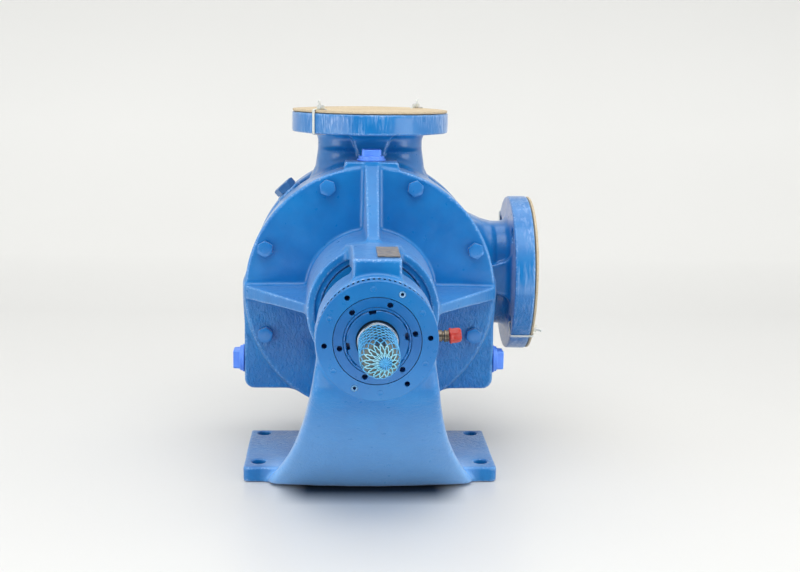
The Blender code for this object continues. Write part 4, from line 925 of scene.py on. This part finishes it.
def heading(path, k):
    """Direction of a path of points at its k-th one."""
    return (path[min(k + 1, len(path) - 1)] - path[max(k - 1, 0)]).normalized()


def tube(bm, path, radius):
    """A six-sided strand along a path of points, with one radius or one for each point."""
    rings = []
    side = None
    for k, point in enumerate(path):
        along = heading(path, k)
        if side is None:
            side = along.orthogonal().normalized()
        side = (side - along * side.dot(along)).normalized()
        up = along.cross(side)
        size = radius[k] if isinstance(radius, list) else radius
        turns = (math.radians(60 * s) for s in range(6))
        rings.append([bm.verts.new(point + (side * math.cos(a) + up * math.sin(a)) * size) for a in turns])
    strand(bm, rings)


def net_point(turn, travel):
    """A point of the net: travel counts cells from its root, and the last cells close on the knot."""
    rim = SHAFT_END + 0.6
    wobble = 0.30 * math.sin(turn * 3 + travel * 1.7) + 0.18 * math.sin(turn * 7 + travel)
    if travel <= NET_BODY_CELLS:
        share = travel / NET_BODY_CELLS
        y = NET_ROOT + (rim - NET_ROOT) * share
        taper = (NET_R - NET_RIM_R) * (max(0.0, share - 0.86) / 0.14) ** 1.5
        r = NET_R + 0.12 * wobble - taper
        return polar(r, turn, y + 0.6 * wobble)
    share = min(1.0, (travel - NET_BODY_CELLS) / NET_END_CELLS)
    reach = NET_RIM_R * (1 - share) ** 0.85 + 0.9 * share
    dome = math.sin(min(1.0, share * 3.0) * math.pi / 2)
    y = rim - 1.5 * dome - 1.9 * share**3 + 0.3 * wobble * (1 - share)
    return polar(reach, turn, y, [middle * share for middle in NET_KNOT])


def build_net(sleeve_plastic, hem_plastic, end_plastic):
    """Plastic mesh sleeve: two crossing sets of strands, gathered off centre over the shaft's end."""
    bm = bmesh.new()
    total = NET_BODY_CELLS + NET_END_CELLS
    steps = int(total * 10)
    for family in (-1, 1):
        for k in range(NET_STRANDS):
            path, size = [], []
            for s in range(steps + 1):
                travel = total * s / steps
                swing = travel - 0.22 * math.sin(4 * math.pi * travel) / 2
                turn = 2 * math.pi * (k + family * 0.5 * swing) / NET_STRANDS
                path.append(net_point(turn, travel))
                crossing = 0.5 + 0.5 * math.cos(2 * math.pi * travel)
                at_end = travel > NET_BODY_CELLS
                size.append(0.50 + 0.20 * crossing if at_end else 0.46 + 0.12 * crossing)
            tube(bm, path, size)
    rng = np.random.default_rng(12)
    for k in range(16):
        a = 2 * math.pi * k / 16
        start = polar(1.2, a, SHAFT_END - 2.4, NET_KNOT)
        end = start + Vector((rng.uniform(-1.6, 1.6), -rng.uniform(0.6, 1.8), rng.uniform(-1.6, 1.6)))
        tube(bm, [start, (start + end) / 2 + Vector((0, -0.3, 0)), end], [0.55, 0.5, 0.4])
    node, slot = "shaft_net_sleeve", "blue_netting"
    net = add_drawn("net_sleeve", bm, sleeve_plastic, node, "shaft_assembly", 60)
    net.data.materials.append(end_plastic)
    for face in net.data.polygons:
        centre = (face.center - PUMP) / MM
        from_knot = math.hypot(centre.x - NET_KNOT[0], centre.z - NET_KNOT[1])
        if centre.y < SHAFT_END + 0.4 and from_knot > 6.0:
            face.material_index = 1
    bm = bmesh.new()
    for number, y in enumerate((-270.6, -273.4)):
        path = []
        for s in range(73):
            a = 2 * math.pi * s / 72
            r = 19.5 + 0.25 * math.sin(5 * a + number) - 0.5 * number
            path.append(polar(r, a, y + 0.9 * math.sin(4 * a + 2 * number)))
        tube(bm, path, 0.42)
    add_drawn("net_hem", bm, hem_plastic, None, "shaft_assembly", 60)


def square(half):
    """Reach of a square with trimmed corners at an angle."""
    return lambda angle: min(half / max(abs(math.cos(angle)), abs(math.sin(angle))), half * 1.30)


def shipping_plug(name, put, material, node):
    """Square-headed plastic plug with a double ring under its head."""
    bm = bmesh.new()
    outline = [
        (13.0, 0.0), (13.0, 10.8), (12.0, 11.4), (-0.3, 12.2), (-0.3, 15.9), (-1.0, 16.7), (-2.4, 16.7),
        (-3.0, 16.0), (-3.3, 15.2), (-5.4, 15.2), (-6.2, 14.4), (-6.2, 0.0),
    ]
    lathe(bm, outline, 64, close=False)
    lathe(bm, [(-5.9, 0.0), (-5.9, square(11.3)), (-13.4, square(11.05)), (-13.8, square(10.4)),
               (-13.8, square(9.1)), (-12.6, square(8.5)), (-12.6, 0.0)], 64, close=False)
    bmesh.ops.transform(bm, matrix=put, verts=bm.verts)
    bevel(add_drawn(name, bm, material, node), 0.5, 2, 30)


def build_plugs(poly, dark_paint):
    """Shipping plugs in the three jacket tappings and the hexagon plug in the casing."""
    put = Matrix.Translation((0, JACKET_PORT_Y, 152.0)) @ Matrix.Rotation(-math.pi / 2, 4, "X")
    shipping_plug("top_plug", put, poly, "top_shipping_plug")
    for side, name in ((-1, "left"), (1, "right")):
        put = Matrix.Translation((side * 148.0, JACKET_PORT_Y, JACKET_PORT_Z))
        put @= Matrix.Rotation(side * math.pi / 2, 4, "Z")
        shipping_plug(f"{name}_plug", put, poly, f"{name}_shipping_plug")
    x, z = HEX_PLUG_SEAT * math.cos(HEX_PLUG_ANGLE), HEX_PLUG_SEAT * math.sin(HEX_PLUG_ANGLE)
    outline = hexagon_rings(24.5, 11.6, 9.5, 0.2) + [(0.0, 9.1), (22.0, 9.1), (22.0, 0.0)]
    put = Matrix.Translation((x, HEX_PLUG_Y, z)) @ Matrix.Rotation(-HEX_PLUG_ANGLE, 4, "Y")
    put @= Matrix.Rotation(math.pi / 2, 4, "Z")
    plug = add_turned("pipe_plug", outline, 72, put, dark_paint, "casing_plug")
    bevel(plug, 0.6, 2, 25)


def port_matrix(port):
    """Turns shapes drawn with the port's face on XZ's origin, facing -Y, onto the pump."""
    if port == "top":
        return Matrix.Translation((0, PORT_Y, TOP_FACE)) @ Matrix.Rotation(-math.pi / 2, 4, "X")
    return Matrix.Translation((SIDE_FACE, PORT_Y, SIDE_Z)) @ Matrix.Rotation(math.pi / 2, 4, "Z")


def build_covers(board, nylon):
    """A slightly bowed board over each port, held by two cable ties."""
    rng = np.random.default_rng(21)
    for port, angles in (("top", (225, 45)), ("side", (-45, 135))):
        put = port_matrix(port)
        waves = rng.uniform(0, 2 * math.pi, 4)

        def lift(base):
            return lambda a: base - 0.25 * math.sin(2 * a + waves[0]) - 0.15 * math.sin(3 * a + waves[1])

        def rim(size):
            return lambda a: size + 0.35 * math.sin(5 * a + waves[2]) + 0.2 * math.sin(17 * a + waves[3])

        outline = [(-0.4, 0.0), (-0.4, 60.0), (lift(-0.6), rim(93.9)), (lift(-1.1), rim(94.5)),
                   (lift(-2.9), rim(94.6)), (lift(-3.4), rim(94.0)), (-3.4, 60.0), (-3.4, 0.0)]
        add_turned(f"{port}_board", outline, 120, put, board, f"{port}_port_cover", 40)
        for number, degrees in enumerate(angles, 1):
            tie = bmesh.new()
            draw_tie(tie, rng)
            bmesh.ops.transform(tie, matrix=put @ tie_aim(port, degrees), verts=tie.verts)
            name = f"{port}_tie_{number}"
            add_drawn(name, tie, nylon, f"{port}_cable_tie_{number}", sharp_deg=50)


def tie_aim(port, degrees):
    """Turns the tie about the port's axis, from the CAD's angle to this frame's."""
    start = 0.0 if port == "top" else math.pi / 2
    return Matrix.Rotation(start - math.radians(degrees), 4, "Y")


def draw_tie(bm, rng):
    """Strap in the plane of X and Y: over the cover, round the rim and up through the bolt hole."""
    top, back, inner, outer = -2.4, FLANGE_THICK - 1.1, 77.5, FLANGE_R - 1.0
    path = []
    for x, y, first in ((outer, top, 270), (outer, back, 0), (inner, back, 90), (inner, top, 180)):
        for k in range(5):
            a = math.radians(first + 90 * k / 4)
            path.append(Vector((x + 2 * math.cos(a), y + 2 * math.sin(a), 0)))
    band(bm, path + [path[0]], 3.6, 1.0)
    head = Matrix.Translation((84.5, top - 4.4, 0)) @ Matrix.Diagonal((7.4, 4.6, 7.2, 1.0))
    first = len(bm.verts)
    bmesh.ops.create_cube(bm, size=1.0)
    bm.verts.ensure_lookup_table()
    new = bm.verts[first:]
    bmesh.ops.transform(bm, matrix=head, verts=new)
    edges = list({e for v in new for e in v.link_edges})
    bmesh.ops.bevel(bm, geom=edges, offset=0.8, segments=2, affect="EDGES")
    lean = rng.uniform(0.25, 0.6)
    tail = [Vector((86.0 + lean * t, top - 6.0 - t, lean * 0.5 * t)) for t in (0.0, 1.5, 3.0, 4.6, 6.0)]
    band(bm, tail, 3.6, 1.0)


def band(bm, path, width, thick):
    """A flat strap with trimmed corners along a path in the plane of X and Y."""
    section = ((-1, -0.5), (-0.9, -1), (0.9, -1), (1, -0.5), (1, 0.5), (0.9, 1), (-0.9, 1), (-1, 0.5))
    rings = []
    for k, point in enumerate(path):
        along = heading(path, k)
        side = Vector((0, 0, 1))
        out = along.cross(side).normalized()
        rings.append([
            bm.verts.new(point + side * a * width / 2 + out * b * thick / 2) for a, b in section
        ])
    strand(bm, rings)


def creased(size, depth):
    """Radius of the soft cap at an angle, pressed in by three creases."""
    return lambda a: size - depth * (0.5 + 0.5 * math.sin(3 * a + 0.6) + 0.3 * math.sin(7 * a + 1))


def build_fitting(brass, red):
    """Oil fitting on the bearing boss and its red cap, which hangs a little askew."""
    put = Matrix.Translation((47.0, -224.0, -2.5)) @ Matrix.Rotation(-math.pi / 2, 4, "Z")
    outline = [
        (0.0, 0.0), (0.0, 4.0), (13.4, 4.0), (13.8, 5.2), (14.6, 5.8), (18.2, 5.8), (19.0, 5.0),
        (19.0, 4.6), (20.2, 4.6), (20.4, 5.6), (21.0, 6.2), (22.4, 6.2), (22.8, 5.5), (23.4, 5.5),
        (23.8, 6.2), (24.8, 6.2), (25.2, 5.4), (25.2, 3.2), (31.0, 3.2), (31.0, 0.0),
    ]
    add_turned("oil_fitting", outline, 48, put, brass, "grease_fitting")
    outline = [
        (31.6, 3.4), (26.0, 3.6), (25.5, 6.6), (26.2, 7.8), (27.6, 8.0), (28.6, creased(7.5, 0.3)),
        (31.0, creased(7.6, 0.9)), (34.0, creased(7.5, 1.6)), (36.4, creased(7.0, 2.0)),
        (37.6, creased(5.8, 1.8)), (38.2, creased(4.2, 1.2)), (38.4, 0.0),
    ]
    droop = Matrix.Rotation(math.radians(5), 4, "X") @ Matrix.Translation((0, -26.0, 0))
    put = put @ Matrix.Translation((0, 26.0, 0)) @ droop
    add_turned("fitting_cap", outline, 72, put, red, "grease_cap", 60)


def build_tag(tag):
    """Blank tag on the bridge arm: a thin bent sheet with a raised border."""
    bm = bmesh.new()
    nx, ny = 14, 30
    levels = []
    for level in (0.0, 0.9):
        rows = []
        for i in range(nx + 1):
            row = []
            for j in range(ny + 1):
                z = 76.9
                if level:
                    bend = 0.25 * math.sin(j * 0.35) + 0.15 * math.sin(i * 0.6 + 1)
                    border = min(i, nx - i, j, ny - j) == 1
                    z += level + (0.22 if border else 0.0) + bend * 0.6
                row.append(bm.verts.new((0.5 + 22.5 * i / nx, -226.0 + 66.0 * j / ny, z)))
            rows.append(row)
        for a, b in zip(rows, rows[1:]):
            for j in range(ny):
                bm.faces.new([a[j], a[j + 1], b[j + 1], b[j]])
        rim = [row[0] for row in rows] + rows[-1][1:] + [row[-1] for row in rows[-2::-1]]
        levels.append(rim + rows[0][-2:0:-1])
    join_rings(bm, levels)
    add_drawn("blank_tag", bm, tag, "nameplate", sharp_deg=50)


# ---- carried-over solids


def dress_frame(finishes):
    """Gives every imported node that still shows, and those inside, its own finish."""
    for name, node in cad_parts.items():
        material = finishes.get(name, finishes["default"])
        if not node.data.materials:
            node.data.materials.append(material)
        for slot in node.material_slots:
            slot.material = material


# ---- stage


def build_stage():
    """Pale sweep under and behind the pump."""
    bm = bmesh.new()
    profile = [(-1.25, 0.0), (1.6, 0.0)]
    for k in range(1, 17):
        angle = math.pi / 2 * k / 16
        profile.append((1.6 + 1.3 * math.sin(angle), 1.3 - 1.3 * math.cos(angle)))
    profile.append((2.9, 4.2))
    rows = [[bm.verts.new((x, y, z)) for x in (-3.4, 3.4)] for y, z in profile]
    for a, b in zip(rows, rows[1:]):
        bm.faces.new([a[0], a[1], b[1], b[0]])
    mesh = bpy.data.meshes.new("sweep")
    bm.to_mesh(mesh)
    bm.free()
    mesh.shade_smooth()
    floor = bpy.data.objects.new("sweep", mesh)
    mesh.materials.append(floor_finish())
    bpy.context.scene.collection.objects.link(floor)


def area_light(name, location, target, size, power):
    data = bpy.data.lights.new(name, "AREA")
    data.shape = "RECTANGLE"
    data.size, data.size_y = size
    data.energy = power
    light = bpy.data.objects.new(name, data)
    light.location = location
    aim = Vector(target) - Vector(location)
    light.rotation_euler = aim.to_track_quat("-Z", "Y").to_euler()
    bpy.context.scene.collection.objects.link(light)


def build_world():
    """White surroundings, dim only low in front, where the room beyond the camera is unlit."""
    world = bpy.data.worlds.new("studio")
    bpy.context.scene.world = world
    world.use_nodes = True
    tree = world.node_tree
    aim = axes_of(tree, tree.nodes.new("ShaderNodeTexCoord").outputs["Generated"])
    dim = product(tree, remap(tree, aim["Y"], -0.35, -0.80), remap(tree, aim["Z"], 0.50, 0.25))
    sky = remap(tree, aim["Z"], 0.30, 0.80, 0.55, 1.15)
    flank = remap(tree, maths(tree, "ABSOLUTE", aim["X"]), 0.55, 0.95, 0.0, 0.45)
    strength = product(tree, maths(tree, "ADD", sky, flank), remap(tree, dim, 0.0, 1.0, 1.0, 0.12))
    feed(tree, tree.nodes["Background"], {"Color": (1.0, 1.0, 0.985), "Strength": strength})


def build_lights():
    area_light("front_overhead", (0.05, -0.95, 1.95), (0.05, -0.80, 0.0), (2.4, 1.3), 21.0)
    for name, side in (("left_fill", -1), ("right_fill", 1)):
        area_light(name, (side * 1.15, -0.95, 0.26), (0.0, -0.1, 0.10), (0.8, 0.5), 4.5)
    area_light("rear_overhead", (0.0, 0.60, 1.95), (0.0, 0.0, 0.2), (2.2, 1.2), 8.0)
    build_world()


def build_camera():
    """Camera at the front, slightly left and above, level with the pump's upper half."""
    yaw, pitch, roll = 0.052733, -0.175546, 0.016548
    ahead = Vector((math.sin(yaw) * math.cos(pitch), math.cos(yaw) * math.cos(pitch), math.sin(pitch)))
    right = Vector((math.cos(yaw), -math.sin(yaw), 0.0))
    up = right.cross(ahead)
    side = right * math.cos(roll) + up * math.sin(roll)
    top = -right * math.sin(roll) + up * math.cos(roll)
    data = bpy.data.cameras.new("studio_camera")
    data.lens, data.sensor_width = 55.709, 36.0
    data.clip_start, data.clip_end = 0.05, 50.0
    camera = bpy.data.objects.new("studio_camera", data)
    stand = Matrix.Translation(PUMP + Vector((-0.040694, -1.428307, 0.261659)))
    camera.matrix_world = stand @ Matrix((side, top, -ahead)).transposed().to_4x4()
    bpy.context.scene.collection.objects.link(camera)
    bpy.context.scene.camera = camera


# ---- the pump


def main():
    cast_paint = enamel("cast_enamel")
    casing_paint = enamel("casing_enamel", streaks=True, coat=0.45)
    smooth_paint = smooth_enamel(
        "machined_enamel", 0.32, 0.35, (0.003, 0.155, 0.440), (0.001, 0.130, 0.400), haze=0.05)
    cap_paint = smooth_enamel(
        "cap_enamel", 0.34, 0.3, (0.003, 0.132, 0.400), (0.001, 0.100, 0.34), haze=0.05)
    bolt_paint = smooth_enamel("bolt_enamel", 0.32, 0.8, (0.020, 0.22, 0.58), (0.010, 0.17, 0.49), haze=0.3)
    dark_paint = smooth_enamel("dark_enamel", 0.36, 0.8, (0.060, 0.200, 0.450), (0.03, 0.13, 0.33))
    # Dark finish that paints shade into the housing's spanner notches.
    notch_shade_paint = smooth_enamel(
        "painted_notch_shade", 0.5, 0.5, (0.001, 0.03, 0.11), (0.001, 0.02, 0.08), coat=0.0, haze=0.0)
    steel = metal("ground_steel", (0.17, 0.20, 0.20), (0.08, 0.10, 0.10), 0.36, (1.0, 14.0, 1.0))
    iron = metal("machined_iron", (0.30, 0.30, 0.30), (0.18, 0.18, 0.18), 0.45)
    bright = metal("bearing_steel", (0.60, 0.60, 0.62), (0.50, 0.50, 0.52), 0.20)
    bronze = metal("bronze", (0.45, 0.28, 0.13), (0.30, 0.18, 0.08), 0.35)
    brass = metal("dull_brass", (0.22, 0.18, 0.14), (0.09, 0.08, 0.07), 0.40)
    carbon = plastic("carbon", (0.03, 0.03, 0.035), (0.05, 0.05, 0.055), 0.45)
    rubber = plastic("rubber", (0.02, 0.02, 0.02), (0.035, 0.035, 0.035), 0.6)
    fibre = plastic("gasket", (0.05, 0.06, 0.07), (0.08, 0.09, 0.10), 0.85)
    poly = plastic("blue_polyethylene", (0.08, 0.25, 0.84), (0.14, 0.34, 0.94), 0.36, 0.25)
    nylon = plastic("natural_nylon", (0.60, 0.63, 0.60), (0.72, 0.74, 0.71), 0.34, 0.35)
    red = plastic("red_vinyl", (0.38, 0.015, 0.010), (0.50, 0.05, 0.03), 0.32, 0.15, 220.0, 0.3)
    net = plastic("blue_netting", (0.03, 0.28, 0.62), (0.12, 0.45, 0.76), 0.32, 0.15, 160.0)
    hem = plastic("pale_netting", (0.35, 0.45, 0.60), (0.55, 0.62, 0.74), 0.30, 0.2, 160.0)
    scraped = smooth_enamel("scraped_enamel", 0.30, 0.5, (0.20, 0.40, 0.62), (0.06, 0.24, 0.50))
    board = fibreboard("fibreboard")
    tag = tag_metal("stamped_tag")
    pitch = 1.7
    casting("bracket", bracket_field, (-152, -250, -204), (152, 50, 156), pitch, cast_paint)
    casting("casing", casing_field, (-152, 4, -150), (200, 200, 210), pitch, casing_paint)
    casting("rear_cover", cover_field, (-150, 56, -150), (150, 196, 150), pitch, cast_paint)
    build_bolts(bolt_paint)
    build_housing(smooth_paint, scraped, cap_paint, notch_shade_paint)
    build_nut(cap_paint)
    build_shaft(steel)
    pale_net = plastic("stretched_netting", (0.14, 0.44, 0.62), (0.36, 0.62, 0.72), 0.32, 0.15, 160.0)
    build_net(net, hem, pale_net)
    build_plugs(poly, dark_paint)
    build_covers(board, nylon)
    build_fitting(brass, red)
    build_tag(tag)
    finishes = {
        "default": iron, "seal_gland": smooth_paint, "spacer_collar": steel, "seal_rotary": steel,
        "bearing_inner_race": bright, "bearing_outer_race": bright, "ball_cage": bright,
        "bracket_bushing": bronze, "idler_bushing": carbon, "seal_seat": carbon, "idler_pin": steel,
        "inner_lip_seal": rubber, "outer_lip_seal": rubber, "bracket_gasket": fibre, "cover_gasket": fibre,
    }
    finishes.update({f"gland_screw_{k}": steel for k in range(1, 5)})
    dress_frame(finishes)
    build_stage()
    build_lights()
    build_camera()
    bpy.context.scene.view_settings.view_transform = "Standard"


main()
